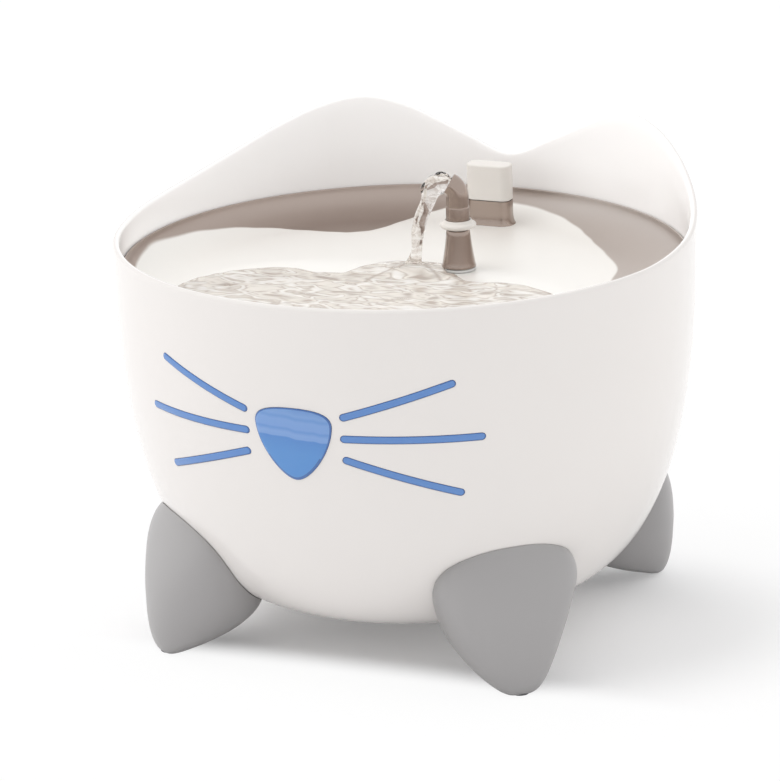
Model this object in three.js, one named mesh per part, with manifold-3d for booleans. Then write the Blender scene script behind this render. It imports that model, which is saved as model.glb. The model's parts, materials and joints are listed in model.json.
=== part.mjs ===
import * as THREE from 'three';
import { mergeVertices } from 'three/addons/utils/BufferGeometryUtils.js';
import Module from 'manifold-3d';

// Pet water fountain: a round bowl with two ears, standing on four paws.
// A steel drinking dish hangs in the bowl, and a small pump under it feeds a spout.
// Millimetres, +Z up, the front with the nose faces -Y, and the ground is at zero.

const degree = Math.PI / 180;

// Bowl
const rimRadius = 122.5;
const rimHeight = 169.7;
const groundClearance = 17.5;
const bellyTuck = 3.5;
const bellyDropPower = 2.34;
const bellyWidthPower = 4.64;
const bowlWall = 2.8;
const shoulderDrop = 16;
const earRise = 29.3;
const earLean = 0.08;

// Fits shared by all pieces
const fitGap = 0.3;
const overrun = 1;

// Drinking dish
const dishRimDrop = 11.7;
const dishDepth = 10.8;
const dishSheet = 0.8;
const dishRimGap = 0.45;
const dishCurveReach = 22.45;
const basinSideMargin = 11;
const basinFrontMargin = 4;
const basinRear = 2;
const basinDepth = 8.5;
const basinSlope = 9;
const basinPower = 2.6;
const basinMargin = 2;
const drainWidth = 3.4;
const drainLength = 10;
const drainPitch = 12;
const drainMargin = 5;

// Lift grip on the dish, and the sheet sleeve that carries it
const gripHalfWidth = 10;
const gripInset = 30;
const gripDepth = 10.1;
const gripRise = 4.3;
const gripCorner = 4;
const gripEdge = 0.8;
const gripWall = 1.5;
const gripPostRadius = 2.8;
const gripPlateMargin = 2.5;
const gripPlateThickness = 1.6;
const sleeveFlare = 1.6;
const sleeveFlareHeight = 5;

// Cable gland in the back wall
const glandDrop = 20;
const glandRadius = 4.8;
const glandBore = 3.2;
const glandFlange = 6.6;
const glandFlangeThickness = 1.2;

// Paws
const footInset = 2.5;
const footTopHeight = 66;
const footHalfWidth = 31;
const footSectionPower = 2.25;
const solePadRadius = 4;
const solePadThickness = 1.2;
const soleInset = 8;
const footScrewInset = 32;
const footScrewSeat = 11;
const footScrewWeb = 5;
const screwHeadRadius = 2.8;
const screwHeadHeight = 2;
const screwShankRadius = 1.4;
const screwLength = 13;
const screwRecess = 1.2;
const bossRadius = 4.5;

// Nose window and whiskers
const noseHalfWidth = 16.8;
const noseHeight = 31.5;
const noseTipDrop = 73.9;
const noseProud = 0.9;
const noseFlangeWidth = 3;
const noseFlangeThickness = 1.6;
const noseSealThickness = 1.2;
const noseRetainerThickness = 1.8;
const whiskerWidth = 2.8;
const whiskerRecess = 1.1;
const whiskerProud = 0.35;
const whiskerDrop = 54.4;
const whiskerPitch = 9.3;
const whiskerFan = 13.7;

// Spout on the dish
const spoutAside = 15;
const spoutSetback = 23;
const spoutHeading = -74 * degree;
const spoutBaseRadius = 7.3;
const spoutBaseTopRadius = 5;
const spoutBaseHeight = 16.1;
const spoutTailRadius = 5;
const spoutTailLength = 15;
const spoutBarbLength = 10;
const spoutBore = 2;
const spoutWasherThickness = 1;
const spoutRingRadius = 7.75;
const spoutRingHeight = 4;
const spoutCollarRadius = 5;
const spoutCollarHeight = 9.3;
const spoutSocketRadius = 3.9;
const spoutSpigotRadius = 3.3;
const spoutSpigotLength = 6.5;
const spoutElbowRadius = 4.8;
const spoutElbowStart = 4.8;
const spoutElbowCurve = 6;
const spoutElbowTurn = 60 * degree;
const spoutMouthRadius = 3.3;
const spoutMouthDepth = 2.5;
const oRingSection = 0.45;
const oRingGrooveDepth = 0.7;
const locknutRadius = 9;
const locknutHeight = 5;

// Pump and its base plate
const moduleBaseMargin = 10;
const moduleBaseThickness = 2;
const moduleBaseCorner = 9;
const moduleBaseFront = -45.5;
const moduleBaseRear = 45.5;
const suctionCupRadius = 7;
const suctionCupHeight = 6;
const suctionCupStem = 2.2;
const suctionCupHead = 3.4;
const suctionCupHeadHeight = 2;
const suctionCupMargin = 5;
const suctionCupFrontInset = 10;
const suctionCupRearInset = 15.5;
const pumpFront = 9;
const pumpWidth = 44;
const pumpLength = 34;
const pumpHeight = 36;
const pumpCorner = 5;
const voluteRadius = 12;
const voluteDepth = 9;
const rotorBoreRadius = 7.3;
const rotorBoreLength = 19;
const rotorRadius = 6.8;
const rotorRunningGap = 0.5;
const impellerRadius = 10.4;
const impellerHubRadius = 4.2;
const impellerBladeThickness = 1.3;
const impellerBladeWidth = 5.2;
const shaftRadius = 1;
const shaftClearance = 0.3;
const bushRadius = 2.6;
const bushLength = 2.2;
const outletBore = 2.8;
const outletRadius = 3.85;
const outletLength = 9.5;
const coverThickness = 3;
const coverMargin = 3;
const railHeight = 2.2;
const railWidth = 1.6;
const sliderThickness = 1.4;
const sliderWidth = 10;
const sliderHeight = 16;
const intakeSlotWidth = 1.8;
const backCoverThickness = 2;
const hoseWall = 1.5;

// Filter
const filterFront = -28;
const filterDepth = 22;
const filterInset = 3;
const filterHeight = 46;
const filterWall = 1.8;
const filterSlotWidth = 2.6;
const filterSlotEdge = 2.4;
const filterSlotMargin = 6;
const cartridgeClearance = 0.6;
const cartridgeFrame = 3;
const padRecess = 2;

// Counts
const bowlSides = 48;
const dishSides = 40;
const footSides = 16;
const footCount = 4;
const ribCount = 6;
const impellerBlades = 6;
const intakeSlots = 5;
const filterSlots = 8;
const drainSlots = 7;
const fineSides = 24;
const roundSides = 16;
const smallSides = 10;
const bendSteps = 8;
const curveSteps = 3;
const hexagonSides = 6;
const slotsPastBush = 2;

// Share of a bend's straight run at which its curve pulls
const hosePullShare = 0.45;

// Dish support ribs inside the bowl
const ribThickness = 2.4;
const ribLength = 14;
const ribHeight = 40;
const ribTopDrop = 5;

const wasm = await Module();
wasm.setup();

// Solids

function signedVolume(position, triangles) {
  const a = new THREE.Vector3();
  const b = new THREE.Vector3();
  const c = new THREE.Vector3();
  let sum = 0;
  for (let i = 0; i < triangles.length; i += 3) {
    a.fromBufferAttribute(position, triangles[i]);
    b.fromBufferAttribute(position, triangles[i + 1]);
    c.fromBufferAttribute(position, triangles[i + 2]);
    sum += a.dot(b.cross(c));
  }
  return sum;
}

function toSolid(geometry) {
  const bare = geometry.clone();
  bare.deleteAttribute('normal');
  bare.deleteAttribute('uv');
  const merged = mergeVertices(bare);
  const index = merged.index.array;
  const triangles = [];
  for (let i = 0; i < index.length; i += 3) {
    const [a, b, c] = [index[i], index[i + 1], index[i + 2]];
    if (a !== b && b !== c && c !== a) triangles.push(a, b, c);
  }
  if (signedVolume(merged.attributes.position, triangles) < 0) triangles.reverse();
  const mesh = new wasm.Mesh({
    numProp: 3,
    vertProperties: new Float32Array(merged.attributes.position.array),
    triVerts: new Uint32Array(triangles),
  });
  return new wasm.Manifold(mesh);
}

function toGeometry(solid) {
  const mesh = solid.getMesh();
  const geometry = new THREE.BufferGeometry();
  const position = new THREE.BufferAttribute(new Float32Array(mesh.vertProperties), 3);
  geometry.setAttribute('position', position);
  geometry.setIndex(new THREE.BufferAttribute(new Uint32Array(mesh.triVerts), 1));
  geometry.computeVertexNormals();
  return geometry;
}

function join(first, ...others) {
  return others.reduce((body, other) => body.add(other), first);
}

function cut(first, ...others) {
  return others.reduce((body, other) => body.subtract(other), first);
}

// A point at a distance from the middle; angle zero is the front, a quarter turn is +X
function around(radius, angle, height) {
  return new THREE.Vector3(radius * Math.sin(angle), -radius * Math.cos(angle), height);
}

// A closed skin through rings of equal counts, with a flat fan at each end
function loft(rings) {
  const sides = rings[0].length;
  const points = rings.flat();
  const triangles = [];
  for (let r = 0; r + 1 < rings.length; r += 1) {
    for (let s = 0; s < sides; s += 1) {
      const a = r * sides + s;
      const b = r * sides + (s + 1) % sides;
      triangles.push(a, b, b + sides, a, b + sides, a + sides);
    }
  }
  const lastRing = (rings.length - 1) * sides;
  for (const [start, ring] of [[0, rings[0]], [lastRing, rings[rings.length - 1]]]) {
    const middle = ring.reduce((sum, point) => sum.add(point), new THREE.Vector3()).divideScalar(sides);
    points.push(middle);
    for (let s = 0; s < sides; s += 1) {
      const pair = [start + s, start + (s + 1) % sides];
      if (start === 0) pair.reverse();
      triangles.push(points.length - 1, ...pair);
    }
  }
  const geometry = new THREE.BufferGeometry().setFromPoints(points);
  geometry.setIndex(triangles);
  return toSolid(geometry);
}

// A turned piece on the vertical axis through (x, y), from pairs of radius and height
function turned(pairs, sides, x = 0, y = 0) {
  const profile = pairs.map(([radius, height]) => new THREE.Vector2(radius, height));
  const geometry = new THREE.LatheGeometry(profile, sides);
  return toSolid(geometry.rotateX(Math.PI / 2).translate(x, y, 0));
}

// The same on an axis along Y at the height z, from pairs of radius and y
function turnedAlongY(pairs, sides, x, z) {
  const profile = pairs.map(([radius, y]) => new THREE.Vector2(radius, y));
  return toSolid(new THREE.LatheGeometry(profile, sides).translate(x, 0, z));
}

function cylinder(radius, low, high, sides, x = 0, y = 0) {
  return turned([[0, low], [radius, low], [radius, high], [0, high]], sides, x, y);
}

function cylinderAlongY(radius, near, far, sides, x, z) {
  return turnedAlongY([[0, near], [radius, near], [radius, far], [0, far]], sides, x, z);
}

function box(lowX, highX, lowY, highY, lowZ, highZ) {
  const geometry = new THREE.BoxGeometry(highX - lowX, highY - lowY, highZ - lowZ);
  return toSolid(geometry.translate((lowX + highX) / 2, (lowY + highY) / 2, (lowZ + highZ) / 2));
}

function roundedRectangle(lowX, highX, lowY, highY, corner) {
  const shape = new THREE.Shape();
  shape.absarc(highX - corner, lowY + corner, corner, -Math.PI / 2, 0, false);
  shape.absarc(highX - corner, highY - corner, corner, 0, Math.PI / 2, false);
  shape.absarc(lowX + corner, highY - corner, corner, Math.PI / 2, Math.PI, false);
  shape.absarc(lowX + corner, lowY + corner, corner, Math.PI, Math.PI * 1.5, false);
  return shape;
}

// A prism on a shape drawn in plan, between two heights
function raised(shape, low, high, curveSegments) {
  const settings = { depth: high - low, bevelEnabled: false, curveSegments };
  const geometry = new THREE.ExtrudeGeometry(shape, settings);
  return toSolid(geometry.translate(0, 0, low));
}

// A prism on a shape drawn upright, facing outwards at the angle, between two distances
function facing(shape, angle, near, far, curveSegments) {
  const settings = { depth: far - near, bevelEnabled: false, curveSegments };
  const geometry = new THREE.ExtrudeGeometry(shape, settings);
  geometry.translate(0, 0, near).rotateX(Math.PI / 2).rotateZ(angle);
  return toSolid(geometry);
}

// A round bar along a path
function swept(path, radius, sides, steps) {
  const section = new THREE.Shape();
  for (let s = 0; s < sides; s += 1) {
    const turn = 2 * Math.PI * s / sides;
    const method = s === 0 ? 'moveTo' : 'lineTo';
    section[method](radius * Math.cos(turn), radius * Math.sin(turn));
  }
  section.closePath();
  return toSolid(new THREE.ExtrudeGeometry(section, { steps, extrudePath: path, bevelEnabled: false }));
}

// Bowl curve

const bellyDepth = rimHeight - groundClearance + bellyTuck;
const slopeStepShare = 0.05;

function bowlRadius(height) {
  if (height >= rimHeight) return rimRadius + earLean * (height - rimHeight);
  const drop = (rimHeight - height) / bellyDepth;
  return rimRadius * (1 - drop ** bellyDropPower) ** (1 / bellyWidthPower);
}

// The height at which the bowl's outside has a given radius
function bowlHeight(radius) {
  const rise = (1 - (radius / rimRadius) ** bellyWidthPower) ** (1 / bellyDropPower);
  return rimHeight - bellyDepth * rise;
}

// The bowl's profile moved outwards by an offset, square to its own surface
function bowlPoint(height, offset) {
  const step = slopeStepShare * bellyTuck;
  const slope = (bowlRadius(height + step) - bowlRadius(height - step)) / (2 * step);
  const length = Math.hypot(1, slope);
  return new THREE.Vector2(bowlRadius(height) + offset / length, height - offset * slope / length);
}

const bellyShares = [0, 0.03, 0.09, 0.18, 0.3, 0.46, 0.64, 0.82, 1];
const shoulderHeight = rimHeight - shoulderDrop;
const bellyRise = shoulderHeight - groundClearance;
const bellyHeights = bellyShares.map((share) => groundClearance + share * bellyRise);
const floorLevel = bowlPoint(groundClearance, -bowlWall).y;
const innerRimRadius = rimRadius - bowlWall;
const gripFront = rimRadius - gripInset;
const gripRear = gripFront + gripDepth;
const gripMiddle = (gripFront + gripRear) / 2;
const gripTop = rimHeight + gripRise;
const noseTipHeight = rimHeight - noseTipDrop;
const whiskerMiddleHeight = rimHeight - whiskerDrop;
const footReach = rimRadius - footInset;
const soleDistance = footReach - soleInset;
const footScrewDistance = footReach - footScrewInset;

// Height of the bowl's top edge: level at the front, two ears towards the back.
// Pairs of an angle from the front and a share of the ears' rise.
const earEdgeShares = [
  [75, 0], [90, 0.045], [100, 0.1], [110, 0.215], [120, 0.405], [130, 0.66], [140, 0.9],
  [149, 1], [157, 0.865], [163, 0.66], [170, 0.405], [180, 0.12],
];

function earShare(angle) {
  const turn = Math.abs(Math.atan2(Math.sin(angle), Math.cos(angle))) / degree;
  const last = earEdgeShares.length - 1;
  if (turn <= earEdgeShares[0][0]) return 0;
  let k = 0;
  while (k < last - 1 && turn > earEdgeShares[k + 1][0]) k += 1;
  const tangent = (i) => {
    if (i === 0 || i === last) return 0;
    const [before, after] = [earEdgeShares[i - 1], earEdgeShares[i + 1]];
    return (after[1] - before[1]) / (after[0] - before[0]);
  };
  const [[x0, y0], [x1, y1]] = [earEdgeShares[k], earEdgeShares[k + 1]];
  const run = x1 - x0;
  const t = Math.min((turn - x0) / run, 1);
  const rise = y1 - y0;
  const leave = (t ** 3 - 2 * t ** 2 + t) * run * tangent(k);
  const arrive = (t ** 3 - t ** 2) * run * tangent(k + 1);
  return y0 + rise * (3 * t ** 2 - 2 * t ** 3) + leave + arrive;
}

function edgeHeight(angle) {
  return rimHeight + earRise * earShare(angle);
}

function bowlRing(pointAt) {
  return Array.from({ length: bowlSides }, (_, s) => {
    const angle = 2 * Math.PI * s / bowlSides;
    const point = pointAt(angle);
    return around(point.x, angle, point.y);
  });
}

const upperWallShares = [0.5, 1];

// One face of the wall above the shoulder, as far as the rounded edge
function upperWallRings(offset) {
  const lip = bowlWall / 2;
  return upperWallShares.map((share) => bowlRing((angle) => {
    const height = shoulderHeight + share * (edgeHeight(angle) - lip - shoulderHeight);
    return bowlPoint(height, offset);
  }));
}

const lipTurns = [50, 130];

function lipRings() {
  const lip = bowlWall / 2;
  return lipTurns.map((turn) => bowlRing((angle) => {
    const middle = bowlPoint(edgeHeight(angle) - lip, -lip);
    return new THREE.Vector2(
      middle.x + lip * Math.cos(turn * degree),
      middle.y + lip * Math.sin(turn * degree),
    );
  }));
}

function bowlWallSolid() {
  const outer = bellyHeights.map((height) => bowlRing(() => bowlPoint(height, 0)));
  const inner = bellyHeights.map((height) => bowlRing(() => bowlPoint(height, -bowlWall)));
  return loft([
    ...outer,
    ...upperWallRings(0),
    ...lipRings(),
    ...upperWallRings(-bowlWall).reverse(),
    ...inner.reverse(),
  ]);
}

// The bowl's solid of revolution, grown by an offset, up to above the ears
function bowlBody(offset) {
  const top = rimHeight + earRise + shoulderDrop;
  const pairs = [...bellyHeights, rimHeight, top].map((height) => bowlPoint(height, offset).toArray());
  return turned([[0, pairs[0][1]], ...pairs, [0, pairs[pairs.length - 1][1]]], bowlSides);
}

// A skin that follows the bowl between two offsets
function bowlLayer(inner, outer) {
  return cut(bowlBody(outer), bowlBody(inner));
}

// Drinking dish

const dishRimHeight = rimHeight - dishRimDrop;
const dishFloor = dishRimHeight - dishDepth;
const dishInnerRadius = innerRimRadius - dishRimGap - dishSheet;
const dishFloorRadius = dishInnerRadius - dishCurveReach;
const basinFloor = dishFloor - basinDepth;
const basinHalfWidth = dishFloorRadius - basinSideMargin;
const basinHalfLength = (dishFloorRadius - basinFrontMargin + basinRear) / 2;
const basinForward = (dishFloorRadius - basinFrontMargin - basinRear) / 2;
const glandHeight = dishRimHeight - glandDrop;

// The water basin's outline: a rounded oblong, held inside the dish's round floor
function basinRing(grow, inset, height) {
  const reach = dishFloorRadius - basinMargin + grow - inset;
  return Array.from({ length: dishSides }, (_, s) => {
    const angle = 2 * Math.PI * s / dishSides;
    const [across, ahead] = [Math.sin(angle), Math.cos(angle)];
    const scale = (Math.abs(across) ** basinPower + Math.abs(ahead) ** basinPower) ** (-1 / basinPower);
    const x = (basinHalfWidth + grow - inset) * across * scale;
    const y = -basinForward - (basinHalfLength + grow - inset) * ahead * scale;
    const inward = Math.min(1, reach / Math.hypot(x, y));
    return new THREE.Vector3(x * inward, y * inward, height);
  });
}

function dishRing(radius, height) {
  return Array.from({ length: dishSides }, (_, s) => around(radius, 2 * Math.PI * s / dishSides, height));
}

// The basin's rings from its floor up: shares of the slope's inset and of the depth
const basinRingShares = [[1, 0], [0.5, 0.35], [0.1, 0.88], [0, 1]];
const dishCurveTurns = [0, 22, 44, 63, 78, 90];

// The space inside the dish, or its outside when it is grown by the sheet
function dishSolid(grow, top) {
  const basin = basinRingShares.map(([inset, rise]) => (
    basinRing(grow, inset * basinSlope, basinFloor + rise * basinDepth - grow)
  ));
  const curve = dishCurveTurns.map((turn) => {
    const run = dishInnerRadius - dishFloorRadius;
    const radius = dishFloorRadius + (run + grow) * Math.sin(turn * degree);
    const height = dishRimHeight - (dishDepth + grow) * Math.cos(turn * degree);
    return dishRing(radius, height);
  });
  return loft([
    ...basin,
    ...curve,
    dishRing(dishInnerRadius + grow, top),
  ]);
}

// The lift grip's outline in plan, grown by an offset
function gripShape(grow) {
  const half = gripHalfWidth + grow;
  return roundedRectangle(-half, half, gripFront - grow, gripRear + grow, gripCorner + grow);
}

function gripRing(grow, height) {
  return gripShape(grow).getPoints(curveSteps).map(({ x, y }) => new THREE.Vector3(x, y, height));
}

// The sleeve's foot from the deck up: shares of the flare's height and of its width
const sleeveFlareShares = [[0, 1], [0.06, 0.55], [0.25, 0.22], [0.6, 0.05], [1, 0]];

// The outside of the sleeve on the dish, or its room when it is drawn in by the sheet
function sleevePost(sheet, low, high) {
  const foot = sleeveFlareShares.map(([rise, flare]) => (
    gripRing(flare * sleeveFlare - sheet, dishFloor - sheet + rise * sleeveFlareHeight)
  ));
  return loft([gripRing(sleeveFlare - sheet, low), ...foot, gripRing(-sheet, high)]);
}

// Short radial slots at the front, through which the water runs back into the bowl
function drainCutters(low, high) {
  const half = drainWidth / 2;
  const far = -dishFloorRadius - drainMargin;
  const shape = roundedRectangle(-half, half, far - drainLength, far, half);
  const slot = raised(shape, low, high, curveSteps);
  const turn = drainPitch / dishInnerRadius / degree;
  return Array.from({ length: drainSlots }, (_, s) => (
    slot.rotate([0, 0, (s - (drainSlots - 1) / 2) * turn])
  ));
}

function drinkingDish() {
  const below = basinFloor - basinDepth;
  const above = dishRimHeight + basinDepth;
  const room = cut(dishSolid(0, above), sleevePost(0, below, above + overrun));
  const outside = cut(
    dishSolid(dishSheet, dishRimHeight),
    sleevePost(dishSheet, below, above + overrun),
  );
  const hole = cylinder(spoutTailRadius + fitGap, below, above, roundSides, spoutAside, spoutSetback);
  return cut(outside, room, hole, ...drainCutters(below, dishRimHeight));
}

// Bowl with its ribs, bosses and cut-outs

// Six gussets whose tops are shaped to the underside of the dish
function dishRibs() {
  const shape = new THREE.Shape();
  const outer = innerRimRadius + bowlWall / 2;
  const top = dishRimHeight - ribTopDrop;
  shape.moveTo(outer, top - ribHeight);
  shape.lineTo(outer, top);
  shape.lineTo(innerRimRadius - ribLength, top);
  shape.lineTo(innerRimRadius - ribLength, top - ribHeight / 2);
  shape.closePath();
  const ribs = [];
  for (let r = 0; r < ribCount; r += 1) {
    const angle = 2 * Math.PI * (r + 0.5) / ribCount;
    const geometry = new THREE.ExtrudeGeometry(shape, { depth: ribThickness, bevelEnabled: false });
    geometry.translate(0, 0, -ribThickness / 2).rotateX(Math.PI / 2).rotateZ(angle - Math.PI / 2);
    ribs.push(toSolid(geometry));
  }
  const seat = dishSolid(dishSheet + fitGap, dishRimHeight + overrun);
  return cut(join(...ribs), seat, bowlLayer(-bowlWall / 2, rimRadius));
}

const bossBottom = footScrewSeat + footScrewWeb + fitGap;

function footAngle(k) {
  return 2 * Math.PI * (k + 0.5) / footCount;
}

function atFoot(distance, k) {
  const place = around(distance, footAngle(k), 0);
  return [place.x, place.y];
}

function footBosses() {
  const top = bowlHeight(footScrewDistance + bossRadius) + bowlWall;
  const bosses = [];
  for (let k = 0; k < footCount; k += 1) {
    bosses.push(cylinder(bossRadius, bossBottom, top, smallSides, ...atFoot(footScrewDistance, k)));
  }
  return cut(join(...bosses), bowlBody(-bowlWall / 2));
}

function bossPilots() {
  const pilots = [];
  const tip = footScrewSeat + screwLength + fitGap;
  for (let k = 0; k < footCount; k += 1) {
    const radius = screwShankRadius + fitGap;
    pilots.push(cylinder(radius, bossBottom - overrun, tip, smallSides, ...atFoot(footScrewDistance, k)));
  }
  return join(...pilots);
}

// Nose and whiskers

// Rounded triangle, drawn in shares of its half width and height
function noseShape(grow) {
  const w = noseHalfWidth + grow;
  const h = noseHeight + 2 * grow;
  const base = noseTipHeight - grow;
  const shape = new THREE.Shape();
  shape.moveTo(0, base);
  shape.bezierCurveTo(w * 0.34, base, w * 0.95, base + h * 0.4, w, base + h * 0.76);
  shape.bezierCurveTo(w * 1.02, base + h * 0.92, w * 0.75, base + h, 0, base + h);
  shape.bezierCurveTo(-w * 0.75, base + h, -w * 1.02, base + h * 0.92, -w, base + h * 0.76);
  shape.bezierCurveTo(-w * 0.95, base + h * 0.4, -w * 0.34, base, 0, base);
  return shape;
}

function nosePrism(grow) {
  return facing(noseShape(grow), 0, basinHalfWidth, rimRadius + shoulderDrop, curveSteps + 1);
}

const noseFlangeFace = -bowlWall - noseSealThickness - 2 * fitGap;
const noseFlangeBack = noseFlangeFace - noseFlangeThickness;
const noseRetainerFace = noseFlangeBack - fitGap;

function noseWindow() {
  const lens = bowlLayer(noseFlangeBack, noseProud).intersect(nosePrism(-fitGap));
  const flange = bowlLayer(noseFlangeBack, noseFlangeFace).intersect(nosePrism(noseFlangeWidth));
  return join(lens, flange);
}

function noseSeal() {
  const layer = bowlLayer(-bowlWall - fitGap - noseSealThickness, -bowlWall - fitGap);
  return cut(layer.intersect(nosePrism(noseFlangeWidth)), nosePrism(fitGap));
}

// The frame inside the bowl that presses the window's flange on its seal
function noseRetainer() {
  const reach = noseFlangeWidth + fitGap;
  const plate = bowlLayer(noseRetainerFace - noseRetainerThickness, noseRetainerFace);
  const wall = bowlLayer(noseRetainerFace - noseRetainerThickness, -bowlWall - fitGap);
  const skirt = cut(wall.intersect(nosePrism(reach + noseRetainerThickness)), nosePrism(reach));
  const face = plate.intersect(nosePrism(reach + noseRetainerThickness));
  return cut(join(face, skirt), nosePrism(-noseFlangeWidth / 2));
}

// Rows from top to bottom: start and end angles, and rise as a share of the fan
const whiskerRowShares = [
  { name: 'top', row: 1, from: 10.4, to: 31.1, rise: 1 },
  { name: 'middle', row: 0, from: 10.3, to: 36.8, rise: -0.04 },
  { name: 'bottom', row: -1, from: 10.4, to: 32.6, rise: -1.1 },
];

// A strip with round ends between two angles and heights, cut square to the bowl
function whiskerPrism({ row, from, to, rise }, side, grow) {
  const middle = side * (from + to) / 2 * degree;
  const low = whiskerMiddleHeight + row * whiskerPitch;
  const high = low + rise * whiskerFan;
  const reach = bowlRadius((low + high) / 2);
  const start = new THREE.Vector2(reach * Math.sin(side * from * degree - middle), low);
  const end = new THREE.Vector2(reach * Math.sin(side * to * degree - middle), high);
  const heading = Math.atan2(end.y - start.y, end.x - start.x);
  const radius = whiskerWidth / 2 + grow;
  const shape = new THREE.Shape();
  shape.absarc(end.x, end.y, radius, heading - Math.PI / 2, heading + Math.PI / 2, false);
  shape.absarc(start.x, start.y, radius, heading + Math.PI / 2, heading + 1.5 * Math.PI, false);
  return facing(shape, middle, basinHalfWidth, rimRadius + shoulderDrop, curveSteps);
}

function whisker(row, side) {
  return bowlLayer(fitGap - whiskerRecess, whiskerProud).intersect(whiskerPrism(row, side, 0));
}

function whiskerRecesses() {
  const layer = bowlLayer(-whiskerRecess, whiskerProud + overrun);
  const strips = [];
  for (const side of [-1, 1]) {
    for (const row of whiskerRowShares) strips.push(layer.intersect(whiskerPrism(row, side, fitGap)));
  }
  return join(...strips);
}

function bowlShell() {
  const [near, far] = [innerRimRadius - ribLength, rimRadius + shoulderDrop];
  const glandHole = cylinderAlongY(glandRadius + fitGap, near, far, roundSides, 0, glandHeight);
  const body = join(bowlWallSolid(), dishRibs(), footBosses());
  return cut(body, bossPilots(), nosePrism(0), whiskerRecesses(), glandHole);
}

// Rubber grommet in the back wall: a flange inside the bowl and a sleeve to the outer face
function cableGland() {
  const face = bowlPoint(glandHeight, 0).x;
  const wall = bowlPoint(glandHeight - glandFlange, -bowlWall).x;
  const seat = Math.sqrt(wall ** 2 - 2 * glandFlange ** 2) - fitGap;
  const near = seat - glandFlangeThickness;
  const pairs = [
    [glandBore, near], [glandFlange, near], [glandFlange, seat], [glandRadius, seat],
    [glandRadius, face - fitGap], [glandBore, face - fitGap], [glandBore, near],
  ];
  return turnedAlongY(pairs, roundSides, 0, glandHeight);
}

// Paws

// Sections from the sole up: height, outer and inner reach, and half width, as shares
const footSectionShares = [
  [0.006, 0.963, 0.905, 0.19], [0.03, 0.976, 0.862, 0.29], [0.085, 0.989, 0.765, 0.43],
  [0.17, 0.998, 0.665, 0.575], [0.3, 1, 0.6, 0.74], [0.48, 0.993, 0.61, 0.9],
  [0.68, 0.969, 0.68, 1], [0.84, 0.937, 0.73, 0.87], [1, 0.895, 0.78, 0.42],
];

function footSection([rise, outer, inner, width]) {
  const middle = footReach * (outer + inner) / 2;
  const half = footReach * (outer - inner) / 2;
  return Array.from({ length: footSides }, (_, s) => {
    const turn = 2 * Math.PI * s / footSides;
    const [out, side] = [Math.cos(turn), Math.sin(turn)];
    const sum = Math.abs(out) ** footSectionPower + Math.abs(side) ** footSectionPower;
    const scale = sum ** (-1 / footSectionPower);
    const across = footHalfWidth * width * side * scale;
    return new THREE.Vector3(across, -(middle + half * out * scale), footTopHeight * rise);
  });
}

// One paw at the front, before it is turned to its place
function footSolid() {
  const paw = loft(footSectionShares.map(footSection));
  const y = -footScrewDistance;
  const tooHigh = footTopHeight;
  const headRoom = cylinder(screwHeadRadius + fitGap, -overrun, footScrewSeat, smallSides, 0, y);
  const shankRoom = cylinder(screwShankRadius + fitGap, 0, tooHigh, smallSides, 0, y);
  const bossRoom = cylinder(bossRadius + fitGap, footScrewSeat + footScrewWeb, tooHigh, smallSides, 0, y);
  const padRadius = solePadRadius + fitGap;
  const padRoom = cylinder(padRadius, -overrun, solePadThickness + fitGap, roundSides, 0, -soleDistance);
  return cut(paw, bowlBody(fitGap), headRoom, shankRoom, bossRoom, padRoom);
}

const screwCrownShare = 0.75;
const crossArmShare = 0.6;
const crossSlotShare = 0.16;

// A screw driven up from below, with its head under a seat
function crossScrew(y, seat) {
  const headBottom = seat - screwHeadHeight;
  const body = turned([
    [0, headBottom], [screwHeadRadius * screwCrownShare, headBottom],
    [screwHeadRadius, headBottom + screwHeadHeight / 2],
    [screwHeadRadius, seat], [screwShankRadius, seat],
    [screwShankRadius, seat + screwLength - screwShankRadius], [0, seat + screwLength],
  ], smallSides, 0, y);
  const arm = screwHeadRadius * crossArmShare;
  const slot = screwHeadRadius * crossSlotShare;
  const depth = headBottom + screwRecess;
  return cut(
    body,
    box(-arm, arm, y - slot, y + slot, headBottom - overrun, depth),
    box(-slot, slot, y - arm, y + arm, headBottom - overrun, depth),
  );
}

function footScrew() {
  return crossScrew(-footScrewDistance, footScrewSeat - fitGap);
}

function solePad() {
  return cylinder(solePadRadius, 0, solePadThickness, roundSides, 0, -soleDistance);
}

// Lift grip

const gripPlateTop = dishFloor - dishSheet - fitGap;
const gripPlateLow = gripPlateTop - gripPlateThickness;
const gripScrewSeat = gripPlateLow - fitGap;

// A hollow cap whose spigot plugs into the sleeve, with a post for the screw
function liftGrip() {
  const seat = dishRimHeight + fitGap;
  const spigotInset = dishSheet + fitGap;
  const cap = loft([
    gripRing(0, seat), gripRing(0, gripTop - gripEdge), gripRing(-gripEdge, gripTop),
  ]);
  const spigot = raised(gripShape(-spigotInset), dishFloor, seat + overrun, curveSteps);
  const hollow = gripShape(-spigotInset - gripWall);
  const room = raised(hollow, dishFloor - overrun, gripTop - 2 * gripWall, curveSteps);
  const post = cylinder(gripPostRadius, dishFloor, gripTop - gripWall, roundSides, 0, gripMiddle);
  const tip = gripScrewSeat + screwLength + fitGap;
  const pilot = cylinder(screwShankRadius + fitGap, dishFloor - overrun, tip, smallSides, 0, gripMiddle);
  return cut(join(cut(join(cap, spigot), room), post), pilot);
}

// The plate under the deck that the screw pulls up
function gripPlate() {
  const plate = raised(gripShape(gripPlateMargin), gripPlateLow, gripPlateTop, curveSteps);
  const [low, high] = [gripPlateLow - overrun, gripPlateTop + overrun];
  return cut(plate, cylinder(screwShankRadius + fitGap, low, high, smallSides, 0, gripMiddle));
}

function gripScrew() {
  return crossScrew(gripMiddle, gripScrewSeat);
}

// Spout

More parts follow.
